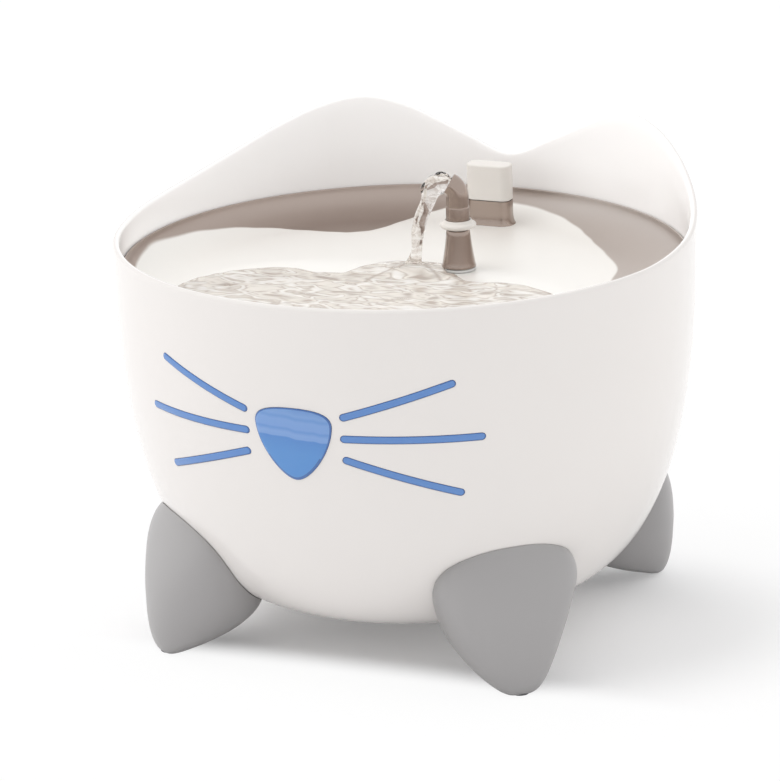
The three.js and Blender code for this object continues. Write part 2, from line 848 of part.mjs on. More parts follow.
const spoutBaseLow = dishFloor + spoutWasherThickness + 2 * fitGap;
const spoutBaseTop = spoutBaseLow + spoutBaseHeight;
const spoutTailEnd = dishFloor - spoutTailLength;
const spoutBarbEnd = spoutTailEnd - spoutBarbLength;
const spoutRingLow = spoutBaseTop + fitGap;
const spoutCollarTop = spoutRingLow + spoutCollarHeight;

function spoutWasher() {
  const bore = spoutTailRadius + fitGap;
  const low = dishFloor + fitGap;
  const high = low + spoutWasherThickness;
  const pairs = [[bore, low], [spoutBaseRadius, low], [spoutBaseRadius, high], [bore, high], [bore, low]];
  return turned(pairs, roundSides, spoutAside, spoutSetback);
}

// The cone on the dish, its tail through the floor and the barb for the hose
function spoutBase() {
  const socketFloor = spoutBaseTop - spoutSpigotLength;
  const barb = outletRadius;
  return turned([
    [spoutBore, spoutBarbEnd], [barb - fitGap, spoutBarbEnd], [barb, spoutBarbEnd + barb / 2],
    [barb, spoutTailEnd], [spoutTailRadius, spoutTailEnd], [spoutTailRadius, spoutBaseLow],
    [spoutBaseRadius, spoutBaseLow], [spoutBaseTopRadius, spoutBaseTop], [spoutSocketRadius, spoutBaseTop],
    [spoutSocketRadius, socketFloor], [spoutBore, socketFloor], [spoutBore, spoutBarbEnd],
  ], fineSides, spoutAside, spoutSetback);
}

// The rounded retaining ring round the nozzle's collar
function spoutRing() {
  const bore = spoutCollarRadius + fitGap;
  const round = spoutRingHeight / 2;
  const middle = spoutRingLow + round;
  const pairs = [[bore, spoutRingLow]];
  for (const turn of [-90, -45, 0, 45, 90]) {
    const x = spoutRingRadius - round + round * Math.cos(turn * degree);
    pairs.push([x, middle + round * Math.sin(turn * degree)]);
  }
  pairs.push([bore, spoutRingLow + spoutRingHeight], [bore, spoutRingLow]);
  return turned(pairs, fineSides, spoutAside, spoutSetback);
}

// Up the collar, round the bend and out to the mouth, which looks up and to one side
function elbowPath(before, after) {
  const aside = around(1, spoutHeading, 0);
  const up = new THREE.Vector3(0, 0, 1);
  const at = (reach, height) => (
    new THREE.Vector3(spoutAside, spoutSetback, height).addScaledVector(aside, reach)
  );
  const bendLow = spoutCollarTop + spoutElbowStart;
  const start = at(0, spoutCollarTop - before);
  const bend = at(0, bendLow);
  const mouth = at(
    spoutElbowCurve * (1 - Math.cos(spoutElbowTurn)),
    bendLow + spoutElbowCurve * Math.sin(spoutElbowTurn),
  );
  const outwards = aside.clone().multiplyScalar(Math.sin(spoutElbowTurn));
  outwards.addScaledVector(up, Math.cos(spoutElbowTurn));
  const pull = 4 / 3 * Math.tan(spoutElbowTurn / 4) * spoutElbowCurve;
  const path = new THREE.CurvePath();
  path.add(new THREE.LineCurve3(start, bend));
  path.add(new THREE.CubicBezierCurve3(
    bend,
    bend.clone().addScaledVector(up, pull),
    mouth.clone().addScaledVector(outwards, -pull),
    mouth,
  ));
  path.add(new THREE.LineCurve3(mouth, mouth.clone().addScaledVector(outwards, after)));
  return path;
}

// A collar that turns in the base, with an elbow that points to one side
function spoutNozzle() {
  const low = spoutRingLow;
  const spigotEnd = spoutBaseTop - spoutSpigotLength + fitGap;
  const groove = spoutSpigotRadius - oRingGrooveDepth;
  const grooveHeight = 2 * (oRingSection + fitGap);
  const grooveLow = spigotEnd + (low - spigotEnd - grooveHeight) / 2;
  const collar = turned([
    [0, spigotEnd], [spoutSpigotRadius, spigotEnd], [spoutSpigotRadius, grooveLow], [groove, grooveLow],
    [groove, grooveLow + grooveHeight], [spoutSpigotRadius, grooveLow + grooveHeight],
    [spoutSpigotRadius, low], [spoutCollarRadius, low], [spoutCollarRadius, spoutCollarTop],
    [spoutElbowRadius - fitGap, spoutCollarTop + 2 * fitGap], [0, spoutCollarTop + 2 * fitGap],
  ], roundSides, spoutAside, spoutSetback);
  const elbow = swept(elbowPath(fitGap, 2 * fitGap), spoutElbowRadius, roundSides, bendSteps);
  const boreStart = spoutCollarHeight + spoutSpigotLength;
  const bore = swept(elbowPath(boreStart, spoutMouthDepth), spoutBore, smallSides - 2, bendSteps + 2);
  const { curves } = elbowPath(0, 2 * spoutMouthDepth);
  const out = curves[curves.length - 1];
  const back = out.v1.clone().lerp(out.v2, -1 / 2);
  const mouth = swept(new THREE.LineCurve3(back, out.v2), spoutMouthRadius, roundSides, 1);
  return cut(join(collar, elbow), bore, mouth);
}

function spoutORing() {
  const spigotEnd = spoutBaseTop - spoutSpigotLength + fitGap;
  const middle = (spigotEnd + spoutRingLow) / 2;
  const radius = spoutSpigotRadius - oRingGrooveDepth + oRingSection + fitGap / 2;
  const torus = new THREE.TorusGeometry(radius, oRingSection, hexagonSides, roundSides);
  return toSolid(torus.translate(spoutAside, spoutSetback, middle));
}

function spoutLocknut() {
  const high = dishFloor - dishSheet - fitGap;
  const low = high - locknutHeight;
  const hexagon = cylinder(locknutRadius, low, high, hexagonSides, spoutAside, spoutSetback);
  const radius = spoutTailRadius + fitGap;
  const bore = cylinder(radius, low - overrun, high + overrun, roundSides, spoutAside, spoutSetback);
  return cut(hexagon, bore);
}

// Pump on its base plate

const moduleBaseHalfWidth = pumpWidth / 2 + moduleBaseMargin;
const moduleBaseLow = floorLevel + fitGap + suctionCupHeight;
const moduleBaseTop = moduleBaseLow + moduleBaseThickness;
const pumpLow = moduleBaseTop + fitGap;
const pumpTop = pumpLow + pumpHeight;
const rotorHeight = pumpLow + pumpHeight / 2;
const outletSetback = pumpFront + voluteDepth / 2;
const rotorBoreEnd = pumpFront + voluteDepth + rotorBoreLength;

function suctionCupPlaces() {
  const x = pumpWidth / 2 + suctionCupMargin;
  const front = moduleBaseFront + suctionCupFrontInset;
  const rear = moduleBaseRear - suctionCupRearInset;
  return [
    ['front_left', -x, front], ['front_right', x, front], ['rear_left', -x, rear], ['rear_right', x, rear],
  ];
}

function moduleBase() {
  const half = moduleBaseHalfWidth;
  const shape = roundedRectangle(-half, half, moduleBaseFront, moduleBaseRear, moduleBaseCorner);
  const plate = raised(shape, moduleBaseLow, moduleBaseTop, curveSteps);
  const holes = suctionCupPlaces().map(([, x, y]) => (
    cylinder(suctionCupStem + fitGap, moduleBaseLow - overrun, moduleBaseTop + overrun, smallSides, x, y)
  ));
  return cut(plate, ...holes);
}

// A cup's skirt, from the middle of its hollow to its neck: shares of its radius and height
const suctionCupShares = [[0, 0.3], [0.55, 0.24], [0.93, 0], [1, 0], [0.6, 0.6]];

// A soft cup with a stem and a button head through the base plate
function suctionCup(x, y) {
  const low = floorLevel + fitGap;
  const shoulder = moduleBaseLow - fitGap;
  const head = moduleBaseTop + fitGap;
  const top = head + suctionCupHeadHeight;
  const skirt = suctionCupShares.map(([out, up]) => [suctionCupRadius * out, low + suctionCupHeight * up]);
  return turned([
    ...skirt, [suctionCupHead, shoulder], [suctionCupStem, shoulder], [suctionCupStem, head],
    [suctionCupHead, head], [suctionCupStem, top], [0, top],
  ], smallSides, x, y);
}

function pumpBody() {
  const half = pumpWidth / 2;
  const rear = pumpFront + pumpLength;
  const shape = roundedRectangle(-half, half, pumpFront, rear, pumpCorner);
  const block = raised(shape, pumpLow, pumpTop, curveSteps);
  const outletTop = pumpTop + outletLength;
  const outlet = cylinder(outletRadius, pumpTop - overrun, outletTop, roundSides, 0, outletSetback);
  const bore = cylinder(outletBore, rotorHeight, outletTop + overrun, smallSides, 0, outletSetback);
  const voluteEnd = pumpFront + voluteDepth;
  const volute = cylinderAlongY(voluteRadius, pumpFront - overrun, voluteEnd, fineSides, 0, rotorHeight);
  const rotorBore = cylinderAlongY(rotorBoreRadius, pumpFront, rotorBoreEnd, roundSides, 0, rotorHeight);
  const seatEnd = rotorBoreEnd + bushLength + fitGap;
  const bushSeat = cylinderAlongY(bushRadius + fitGap, pumpFront, seatEnd, smallSides, 0, rotorHeight);
  return cut(join(block, outlet), bore, volute, rotorBore, bushSeat);
}

function pumpBackCover() {
  const half = pumpWidth / 2 - coverMargin;
  const rear = pumpFront + pumpLength + fitGap;
  const shape = roundedRectangle(-half, half, pumpLow + coverMargin, pumpTop - coverMargin, pumpCorner);
  return facing(shape, Math.PI, rear, rear + backCoverThickness, curveSteps);
}

const coverBack = pumpFront - fitGap;
const coverFront = coverBack - coverThickness;

function intakeSlot(x) {
  const tall = sliderHeight / 2 - intakeSlotWidth;
  const [low, high] = [rotorHeight - tall, rotorHeight + tall];
  return box(x, x + intakeSlotWidth, coverFront - overrun, coverBack + overrun, low, high);
}

// Plate over the volute with its intake slots, the front bush and rails for the slider
function pumpFrontCover() {
  const half = pumpWidth / 2 - coverMargin;
  const shape = roundedRectangle(-half, half, pumpLow + coverMargin, pumpTop - coverMargin, pumpCorner);
  const plate = facing(shape, 0, -coverBack, -coverFront, curveSteps);
  const railFront = coverFront - sliderThickness - 2 * fitGap - railWidth;
  const lip = sliderHeight / 2 + fitGap;
  const rails = [];
  for (const side of [-1, 1]) {
    const [foot, top] = [rotorHeight + side * lip, rotorHeight + side * (lip + railHeight)];
    const [low, high] = [Math.min(foot, top), Math.max(foot, top)];
    rails.push(box(-half, half, railFront, coverFront + overrun, low, high));
    const tip = rotorHeight + side * (lip - railHeight / 2);
    const [lowTip, highTip] = [Math.min(tip, top), Math.max(tip, top)];
    rails.push(box(-half, half, railFront, railFront + railWidth, lowTip, highTip));
  }
  const slots = [];
  const pitch = (half - bushRadius - intakeSlotWidth) / intakeSlots;
  for (let s = 0; s < intakeSlots; s += 1) {
    const x = bushRadius + intakeSlotWidth + s * pitch;
    slots.push(intakeSlot(x));
    if (s < slotsPastBush) slots.push(intakeSlot(-x - intakeSlotWidth));
  }
  const seatStart = coverBack - bushLength - fitGap;
  const seatRadius = bushRadius + fitGap;
  const bushSeat = cylinderAlongY(seatRadius, seatStart, coverBack + overrun, smallSides, 0, rotorHeight);
  return cut(join(plate, ...rails), ...slots, bushSeat);
}

// A shutter that slides across the intake slots, with a thumb ridge
function flowSlider() {
  const back = coverFront - fitGap;
  const front = back - sliderThickness;
  const low = rotorHeight - sliderHeight / 2;
  const high = rotorHeight + sliderHeight / 2;
  const plate = box(0, sliderWidth, front, back, low, high);
  const ridgeX = sliderWidth / 2;
  const ridgeTall = sliderHeight / 4;
  const ridge = box(
    ridgeX - railWidth / 2, ridgeX + railWidth / 2, front - railHeight, front + fitGap,
    rotorHeight - ridgeTall, rotorHeight + ridgeTall,
  );
  return join(plate, ridge);
}

function bush(near) {
  const far = near + bushLength;
  const bore = shaftRadius + shaftClearance;
  const pairs = [[bore, near], [bushRadius, near], [bushRadius, far], [bore, far], [bore, near]];
  return turnedAlongY(pairs, smallSides, 0, rotorHeight);
}

const frontBushNear = coverBack - bushLength;
const rearBushNear = rotorBoreEnd;

function impellerShaft() {
  return cylinderAlongY(shaftRadius, frontBushNear, rearBushNear + bushLength, smallSides, 0, rotorHeight);
}

const impellerNear = pumpFront + rotorRunningGap;
const impellerFar = impellerNear + impellerBladeWidth;
const rotorNear = impellerFar + fitGap;
const rotorFar = rotorBoreEnd - rotorRunningGap;

function shaftBore(near, far) {
  const radius = shaftRadius + shaftClearance;
  return cylinderAlongY(radius, near - overrun, far + overrun, smallSides, 0, rotorHeight);
}

// A hub with flat radial blades
function impeller() {
  const hub = cylinderAlongY(impellerHubRadius, impellerNear, impellerFar, roundSides, 0, rotorHeight);
  const blades = [];
  for (let b = 0; b < impellerBlades; b += 1) {
    const width = impellerRadius - shaftRadius - shaftClearance;
    const geometry = new THREE.BoxGeometry(width, impellerBladeWidth, impellerBladeThickness);
    geometry.translate(impellerRadius - width / 2, (impellerNear + impellerFar) / 2, 0);
    geometry.rotateY(2 * Math.PI * b / impellerBlades).translate(0, 0, rotorHeight);
    blades.push(toSolid(geometry));
  }
  return cut(join(hub, ...blades), shaftBore(impellerNear, impellerFar));
}

function rotorMagnet() {
  const body = cylinderAlongY(rotorRadius, rotorNear, rotorFar, roundSides, 0, rotorHeight);
  return cut(body, shaftBore(rotorNear, rotorFar));
}

// Soft hose from the pump's outlet to the barb under the spout, with an S bend
function riserHose() {
  const bore = outletRadius + fitGap;
  const low = pumpTop + fitGap;
  const high = spoutTailEnd - fitGap;
  const straightLow = pumpTop + outletLength + fitGap;
  const straightHigh = spoutBarbEnd - fitGap;
  const hosePath = (extra) => {
    const start = new THREE.Vector3(0, outletSetback, low - extra);
    const bendLow = new THREE.Vector3(0, outletSetback, straightLow);
    const bendHigh = new THREE.Vector3(spoutAside, spoutSetback, straightHigh);
    const end = new THREE.Vector3(spoutAside, spoutSetback, high + extra);
    const pull = (straightHigh - straightLow) * hosePullShare;
    const path = new THREE.CurvePath();
    path.add(new THREE.LineCurve3(start, bendLow));
    path.add(new THREE.CubicBezierCurve3(
      bendLow,
      bendLow.clone().add(new THREE.Vector3(0, 0, pull)),
      bendHigh.clone().add(new THREE.Vector3(0, 0, -pull)),
      bendHigh,
    ));
    path.add(new THREE.LineCurve3(bendHigh, end));
    return path;
  };
  return cut(
    swept(hosePath(0), bore + hoseWall, roundSides - 4, bendSteps + 2),
    swept(hosePath(overrun), bore, roundSides - 4, bendSteps + 2),
  );
}

// Filter housing with its cartridge

const filterHalfWidth = moduleBaseHalfWidth - filterInset;
const filterRear = filterFront + filterDepth;
const filterLow = moduleBaseTop + fitGap;
const filterTop = filterLow + filterHeight;

function filterHousing() {
  const half = filterHalfWidth;
  const inner = half - filterWall;
  const [front, rear] = [filterFront + filterWall, filterRear - filterWall];
  const shell = cut(
    box(-half, half, filterFront, filterRear, filterLow, filterTop),
    box(-inner, inner, front, rear, filterLow + filterWall, filterTop + overrun),
  );
  const slots = [];
  const pitch = 2 * (inner - filterSlotEdge) / filterSlots;
  for (let s = 0; s < filterSlots; s += 1) {
    const x = (s - (filterSlots - 1) / 2) * pitch;
    const reach = filterSlotWidth / 2;
    slots.push(box(
      x - reach, x + reach, filterFront - overrun, filterRear + overrun,
      filterLow + filterSlotMargin, filterTop - filterSlotMargin,
    ));
  }
  return cut(shell, ...slots);
}

const cartridgeHalfWidth = filterHalfWidth - filterWall - cartridgeClearance;
const cartridgeFront = filterFront + filterWall + cartridgeClearance;
const cartridgeRear = filterRear - filterWall - cartridgeClearance;
const cartridgeLow = filterLow + filterWall + fitGap;
const cartridgeTop = filterTop;

// Open frame that holds the pad behind a lip on both faces
function filterFrame() {
  const half = cartridgeHalfWidth;
  const pocket = half - cartridgeFrame;
  const window = pocket - padRecess;
  const [low, high] = [cartridgeLow + cartridgeFrame, cartridgeTop - cartridgeFrame];
  const [near, far] = [cartridgeFront - overrun, cartridgeRear + overrun];
  return cut(
    box(-half, half, cartridgeFront, cartridgeRear, cartridgeLow, cartridgeTop),
    box(-pocket, pocket, cartridgeFront + padRecess, cartridgeRear - padRecess, low, high),
    box(-window, window, near, far, low + padRecess, high - padRecess),
  );
}

function filterPad() {
  const half = cartridgeHalfWidth - cartridgeFrame - fitGap;
  const inset = padRecess + fitGap;
  return box(
    -half, half, cartridgeFront + inset, cartridgeRear - inset,
    cartridgeLow + cartridgeFrame + fitGap, cartridgeTop - cartridgeFrame - fitGap,
  );
}

// Finishes

const finishes = {
  whiteShell: { color: 0xf4f2f1, roughness: 0.22, metalness: 0 },
  whitePlastic: { color: 0xeeebe8, roughness: 0.35, metalness: 0 },
  greyPaw: { color: 0xaaa8a9, roughness: 0.5, metalness: 0 },
  blueInlay: { color: 0x6492cb, roughness: 0.18, metalness: 0 },
  steel: { color: 0xc9c2bc, roughness: 0.25, metalness: 1 },
  rubber: { color: 0x6d6d70, roughness: 0.8, metalness: 0 },
  silicone: { color: 0xdedede, roughness: 0.5, metalness: 0 },
  pumpPlastic: { color: 0xe4e4e4, roughness: 0.45, metalness: 0 },
  magnet: { color: 0x3a3a3c, roughness: 0.6, metalness: 0 },
  ceramic: { color: 0xf8f6f0, roughness: 0.2, metalness: 0 },
  screwSteel: { color: 0xb8b8ba, roughness: 0.3, metalness: 1 },
  foam: { color: 0x4a5a66, roughness: 0.95, metalness: 0 },
};

function part(name, solid, finish) {
  const mesh = new THREE.Mesh(toGeometry(solid), new THREE.MeshStandardMaterial(finishes[finish]));
  mesh.name = name;
  return mesh;
}

// Assembly

function paws() {
  const group = new THREE.Group();
  const names = ['front_right', 'rear_right', 'rear_left', 'front_left'];
  names.forEach((name, k) => {
    const paw = new THREE.Group();
    paw.add(part(`foot_${name}`, footSolid(), 'greyPaw'));
    paw.add(part(`foot_screw_${name}`, footScrew(), 'screwSteel'));
    paw.add(part(`foot_pad_${name}`, solePad(), 'rubber'));
    paw.rotation.z = footAngle(k);
    group.add(paw);
  });
  return group;
}

function face() {
  const group = new THREE.Group();
  group.add(part('nose_window', noseWindow(), 'blueInlay'));
  group.add(part('nose_seal', noseSeal(), 'silicone'));
  group.add(part('nose_retainer', noseRetainer(), 'whitePlastic'));
  for (const [side, word] of [[-1, 'left'], [1, 'right']]) {
    for (const row of whiskerRowShares) {
      group.add(part(`whisker_${word}_${row.name}`, whisker(row, side), 'blueInlay'));
    }
  }
  return group;
}

function dishWithSpout() {
  const group = new THREE.Group();
  group.add(part('drinking_dish', drinkingDish(), 'steel'));
  group.add(part('lift_grip', liftGrip(), 'whitePlastic'));
  group.add(part('grip_plate', gripPlate(), 'steel'));
  group.add(part('grip_screw', gripScrew(), 'screwSteel'));
  group.add(part('spout_washer', spoutWasher(), 'silicone'));
  group.add(part('spout_base', spoutBase(), 'steel'));
  group.add(part('spout_locknut', spoutLocknut(), 'whitePlastic'));
  group.add(part('spout_ring', spoutRing(), 'whitePlastic'));
  group.add(part('spout_nozzle', spoutNozzle(), 'steel'));
  group.add(part('spout_o_ring', spoutORing(), 'rubber'));
  return group;
}

function pumpModule() {
  const group = new THREE.Group();
  group.add(part('module_base', moduleBase(), 'pumpPlastic'));
  for (const [word, x, y] of suctionCupPlaces()) {
    group.add(part(`suction_cup_${word}`, suctionCup(x, y), 'silicone'));
  }
  group.add(part('pump_body', pumpBody(), 'pumpPlastic'));
  group.add(part('pump_back_cover', pumpBackCover(), 'pumpPlastic'));
  group.add(part('pump_front_cover', pumpFrontCover(), 'pumpPlastic'));
  group.add(part('flow_slider', flowSlider(), 'whitePlastic'));
  group.add(part('shaft_bush_front', bush(frontBushNear), 'rubber'));
  group.add(part('shaft_bush_rear', bush(rearBushNear), 'rubber'));
  group.add(part('impeller_shaft', impellerShaft(), 'ceramic'));
  group.add(part('impeller', impeller(), 'whitePlastic'));
  group.add(part('rotor_magnet', rotorMagnet(), 'magnet'));
  group.add(part('riser_hose', riserHose(), 'silicone'));
  group.add(part('filter_housing', filterHousing(), 'whitePlastic'));
  group.add(part('filter_frame', filterFrame(), 'whitePlastic'));
  group.add(part('filter_pad', filterPad(), 'foam'));
  return group;
}

const fountain = new THREE.Group();
fountain.add(part('bowl_shell', bowlShell(), 'whiteShell'));
fountain.add(part('cable_gland', cableGland(), 'rubber'));
fountain.add(paws(), face(), dishWithSpout(), pumpModule());

export default fountain;
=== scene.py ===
import json
import math
import bmesh
import bpy
from mathutils import Matrix, Vector, kdtree, noise


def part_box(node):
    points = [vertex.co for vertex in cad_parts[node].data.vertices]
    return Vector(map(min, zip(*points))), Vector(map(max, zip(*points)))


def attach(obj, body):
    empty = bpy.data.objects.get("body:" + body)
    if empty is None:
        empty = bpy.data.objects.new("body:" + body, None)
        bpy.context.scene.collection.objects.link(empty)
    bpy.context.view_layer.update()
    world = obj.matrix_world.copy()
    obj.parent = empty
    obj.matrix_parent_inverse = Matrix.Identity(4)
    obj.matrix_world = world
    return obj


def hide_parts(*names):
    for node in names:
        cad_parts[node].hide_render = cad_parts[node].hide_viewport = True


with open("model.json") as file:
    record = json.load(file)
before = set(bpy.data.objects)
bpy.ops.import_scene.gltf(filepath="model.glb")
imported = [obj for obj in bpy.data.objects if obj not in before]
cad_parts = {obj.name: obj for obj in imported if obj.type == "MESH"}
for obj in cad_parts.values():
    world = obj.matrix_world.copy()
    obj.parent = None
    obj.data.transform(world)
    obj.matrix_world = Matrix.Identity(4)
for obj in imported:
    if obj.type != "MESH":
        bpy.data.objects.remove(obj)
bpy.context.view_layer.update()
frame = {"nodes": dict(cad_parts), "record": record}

# Bowl. One moulded shell of glossy white plastic with a round belly, whose rim rises
# into two ears at the back. The front is cut out for the nose window and recessed for
# the whiskers, and the back wall has the hole for the cable gland.
rim_radius = 0.1225
rim_height = 0.1697
bowl_bottom = 0.0175
belly_depth = rim_height - bowl_bottom + 0.0035
belly_drop_power = 2.34
belly_width_power = 4.64
bowl_wall = 0.0028
shoulder_height = 0.1537
ear_lean = 0.08
ear_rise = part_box("bowl_shell")[1].z - rim_height
fit_gap = 0.0003
bowl_sides = 256
belly_rows = 44
belly_row_power = 1.7
wall_rows = 9
lip_rows = 8

# Angle from the front in degrees, and the share of the ears' rise there
ear_edge_shares = [
    (75, 0), (90, 0.045), (100, 0.1), (110, 0.215), (120, 0.405), (130, 0.66), (140, 0.9),
    (149, 1), (157, 0.865), (163, 0.66), (170, 0.405), (180, 0.12),
]


def bowl_radius(height):
    if height >= rim_height:
        return rim_radius + ear_lean * (height - rim_height)
    drop = (rim_height - height) / belly_depth
    return rim_radius * (1 - drop ** belly_drop_power) ** (1 / belly_width_power)


def bowl_point(height, offset):
    """Radius and height of the bowl's outside, moved square to it by an offset."""
    step = belly_depth / 1000
    slope = (bowl_radius(height + step) - bowl_radius(height - step)) / (2 * step)
    length = math.hypot(1, slope)
    return bowl_radius(height) + offset / length, height - offset * slope / length


def smooth_value(table, place):
    """The value at a place on a smooth curve through pairs of place and value."""
    last = len(table) - 1
    if place <= table[0][0]:
        return table[0][1]
    k = 0
    while k < last - 1 and place > table[k + 1][0]:
        k += 1

    def tangent(i):
        if i in (0, last):
            return 0
        return (table[i + 1][1] - table[i - 1][1]) / (table[i + 1][0] - table[i - 1][0])

    (x0, y0), (x1, y1) = table[k], table[k + 1]
    run = x1 - x0
    t = min((place - x0) / run, 1)
    blend = 3 * t ** 2 - 2 * t ** 3
    leave = (t ** 3 - 2 * t ** 2 + t) * run * tangent(k)
    arrive = (t ** 3 - t ** 2) * run * tangent(k + 1)
    return y0 + (y1 - y0) * blend + leave + arrive


def turned(bm, profile, sides, centre=(0, 0), closed=False):
    """Spins pairs of radius and height about an upright axis."""
    line = [bm.verts.new((centre[0] + radius, centre[1], height)) for radius, height in profile]
    pairs = list(zip(line, line[1:])) + ([(line[-1], line[0])] if closed else [])
    edges = [bm.edges.new(pair) for pair in pairs]
    bmesh.ops.spin(
        bm, geom=line + edges, cent=(*centre, 0), axis=(0, 0, 1), dvec=(0, 0, 0),
        angle=2 * math.pi, steps=sides, use_merge=True,
    )
    bmesh.ops.remove_doubles(bm, verts=bm.verts, dist=1e-7)
    bmesh.ops.recalc_face_normals(bm, faces=bm.faces)


def placed(name, data):
    """Adds an object to the scene."""
    item = bpy.data.objects.new(name, data)
    bpy.context.scene.collection.objects.link(item)
    return item


def carve(bm, cutter, operation="DIFFERENCE"):
    """Cuts a closed mesh with another one, or keeps what the two share."""
    blanks = []
    for source in (bm, cutter):
        mesh = bpy.data.meshes.new("blank")
        source.to_mesh(mesh)
        blanks.append(placed("blank", mesh))
    cut = blanks[0].modifiers.new("cut", "BOOLEAN")
    cut.operation = operation
    cut.solver = "EXACT"
    cut.object = blanks[1]
    shaped = blanks[0].evaluated_get(bpy.context.evaluated_depsgraph_get())
    result = bpy.data.meshes.new_from_object(shaped)
    bm.clear()
    bm.from_mesh(result)
    cutter.free()
    bpy.data.meshes.remove(result)
    for blank in blanks:
        mesh = blank.data
        bpy.data.objects.remove(blank)
        bpy.data.meshes.remove(mesh)


def make_piece(name, bm, material, body, slot, *nodes, sharp=35):
    """Turns a finished bmesh into a smooth-shaded piece that rides on a body."""
    mesh = bpy.data.meshes.new(name)
    bm.to_mesh(mesh)
    bm.free()
    mesh.polygons.foreach_set("use_smooth", [True] * len(mesh.polygons))
    mesh.set_sharp_from_angle(angle=math.radians(sharp))
    mesh.materials.append(material)
    piece = placed(name, mesh)
    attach(piece, body)
    if nodes:
        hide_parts(*nodes)
    return piece


def tint(red, green, blue):
    """A screen colour of 0 to 255 as the light values that a shader takes."""
    def light(value):
        share = value / 255
        return share / 12.92 if share <= 0.04045 else ((share + 0.055) / 1.055) ** 2.4
    return light(red), light(green), light(blue), 1


def fill_inputs(node, inputs):
    """Sets a shader node's inputs; one that is given another node's output is linked to it."""
    for name, value in inputs.items():
        if isinstance(value, bpy.types.NodeSocket):
            node.id_data.links.new(value, node.inputs[name])
        else:
            node.inputs[name].default_value = value


def add_node(tree, kind, inputs=None, **settings):
    """Adds a shader node with its settings and its inputs."""
    node = tree.nodes.new("ShaderNode" + kind)
    for name, value in settings.items():
        setattr(node, name, value)
    fill_inputs(node, inputs or {})
    return node


def new_material(name):
    """A material, its node tree, its shader and the object's own coordinates."""
    material = bpy.data.materials.new(name)
    material.use_nodes = True
    tree = material.node_tree
    return material, tree, tree.nodes["Principled BSDF"], add_node(tree, "TexCoord").outputs["Object"]


def worked_out(tree, operation, *values):
    """The result of one step of arithmetic."""
    return add_node(tree, "Math", dict(enumerate(values)), operation=operation).outputs["Value"]


def scaled(tree, value, before, after=(0, 1), smooth=False):
    """Maps a value from one range to another and holds it at their ends."""
    limits = {"From Min": before[0], "From Max": before[1], "To Min": after[0], "To Max": after[1]}
    curve = "SMOOTHSTEP" if smooth else "LINEAR"
    return add_node(tree, "MapRange", {"Value": value, **limits}, interpolation_type=curve).outputs["Result"]


def mixed(tree, share, first, second):
    """A blend of two colours."""
    parts = {"Factor": share, "A": first, "B": second}
    return add_node(tree, "Mix", parts, data_type="RGBA").outputs["Result"]


def noise_value(tree, place, scale, detail=2):
    """Soft noise of 0 to 1 at a place."""
    parts = {"Vector": place, "Scale": scale, "Detail": detail}
    return add_node(tree, "TexNoise", parts).outputs["Fac"]


def relieved(tree, shader, height, strength, distance):
    """Raises a material's surface by a value."""
    bump = add_node(tree, "Bump", {"Strength": strength, "Distance": distance, "Height": height})
    fill_inputs(shader, {"Normal": bump.outputs["Normal"]})


def moulded(name, colour, roughness, mottle=0.02, cloud=18, grain=1800, relief=0.00002, spread=0.04):
    """Plastic with faint clouding, uneven gloss and the fine grain of its mould."""
    material, tree, shader, place = new_material(name)
    clouding = noise_value(tree, place, cloud, 3)
    darker = (*(value * (1 - mottle) for value in colour[:3]), 1)
    lighter = (*(min(value * (1 + mottle), 1) for value in colour[:3]), 1)
    fill_inputs(shader, {
        "Base Color": mixed(tree, clouding, darker, lighter),
        "Roughness": scaled(tree, clouding, (0, 1), (roughness - spread, roughness + spread)),
    })
    relieved(tree, shader, noise_value(tree, place, grain), 0.35, relief)
    return material


def recoloured(material):
    """What a later step needs to change a material's colour: its tree, colour input and place."""
    tree = material.node_tree
    place = next(node for node in tree.nodes if node.bl_idname == "ShaderNodeTexCoord")
    return tree, tree.nodes["Principled BSDF"].inputs["Base Color"], place.outputs["Object"]


def axis_distance(tree, place):
    """Distance of a place from the object's upright axis."""
    flat = add_node(tree, "VectorMath", {0: place, 1: (1, 1, 0)}, operation="MULTIPLY")
    return add_node(tree, "VectorMath", {0: flat.outputs["Vector"]}, operation="LENGTH").outputs["Value"]


# The painted light on the inner wall begins between these depths under the rim, and these depths in the wall
painted_light_drop = (0.02, 0.012)
painted_light_depth = (0.0006, 0.0022)


def painted_inner_light(material, bright):
    """Paints light onto the inside of the wall above the dish: a lighter colour that stands for light through
    the thin wall.
    """
    tree, colour, place = recoloured(material)
    height = add_node(tree, "SeparateXYZ", {"Vector": place}).outputs["Z"]
    high = scaled(tree, height, [rim_height - drop for drop in painted_light_drop], smooth=True)
    distance = worked_out(tree, "MULTIPLY_ADD", height, -ear_lean, axis_distance(tree, place))
    upright_rim = rim_radius - ear_lean * rim_height
    within = scaled(tree, distance, [upright_rim - depth for depth in painted_light_depth], smooth=True)
    share = worked_out(tree, "MULTIPLY", high, within)
    tree.links.new(mixed(tree, share, colour.links[0].from_socket, bright), colour)


def bowl_profile(offset):
    """Pairs of radius and height up the belly to the shoulder."""
    rise = shoulder_height - bowl_bottom
    shares = [(k / belly_rows) ** belly_row_power for k in range(belly_rows + 1)]
    return [bowl_point(bowl_bottom + share * rise, offset) for share in shares]


def upper_profile(offset):
    """Pairs up the wall from the shoulder to where the rounded lip begins."""
    rise = rim_height - bowl_wall / 2 - shoulder_height
    return [bowl_point(shoulder_height + rise * k / wall_rows, offset) for k in range(1, wall_rows + 1)]


def bowl_core(offset):
    """The bowl's outside as one solid, grown or shrunk by an offset."""
    core = bmesh.new()
    top = rim_height + 2 * ear_rise
    belly = bowl_profile(offset)
    straight = [bowl_point(height, offset) for height in (rim_height, top)]
    turned(core, [(0, belly[0][1]), *belly, *straight, (0, straight[-1][1])], bowl_sides)
    return core


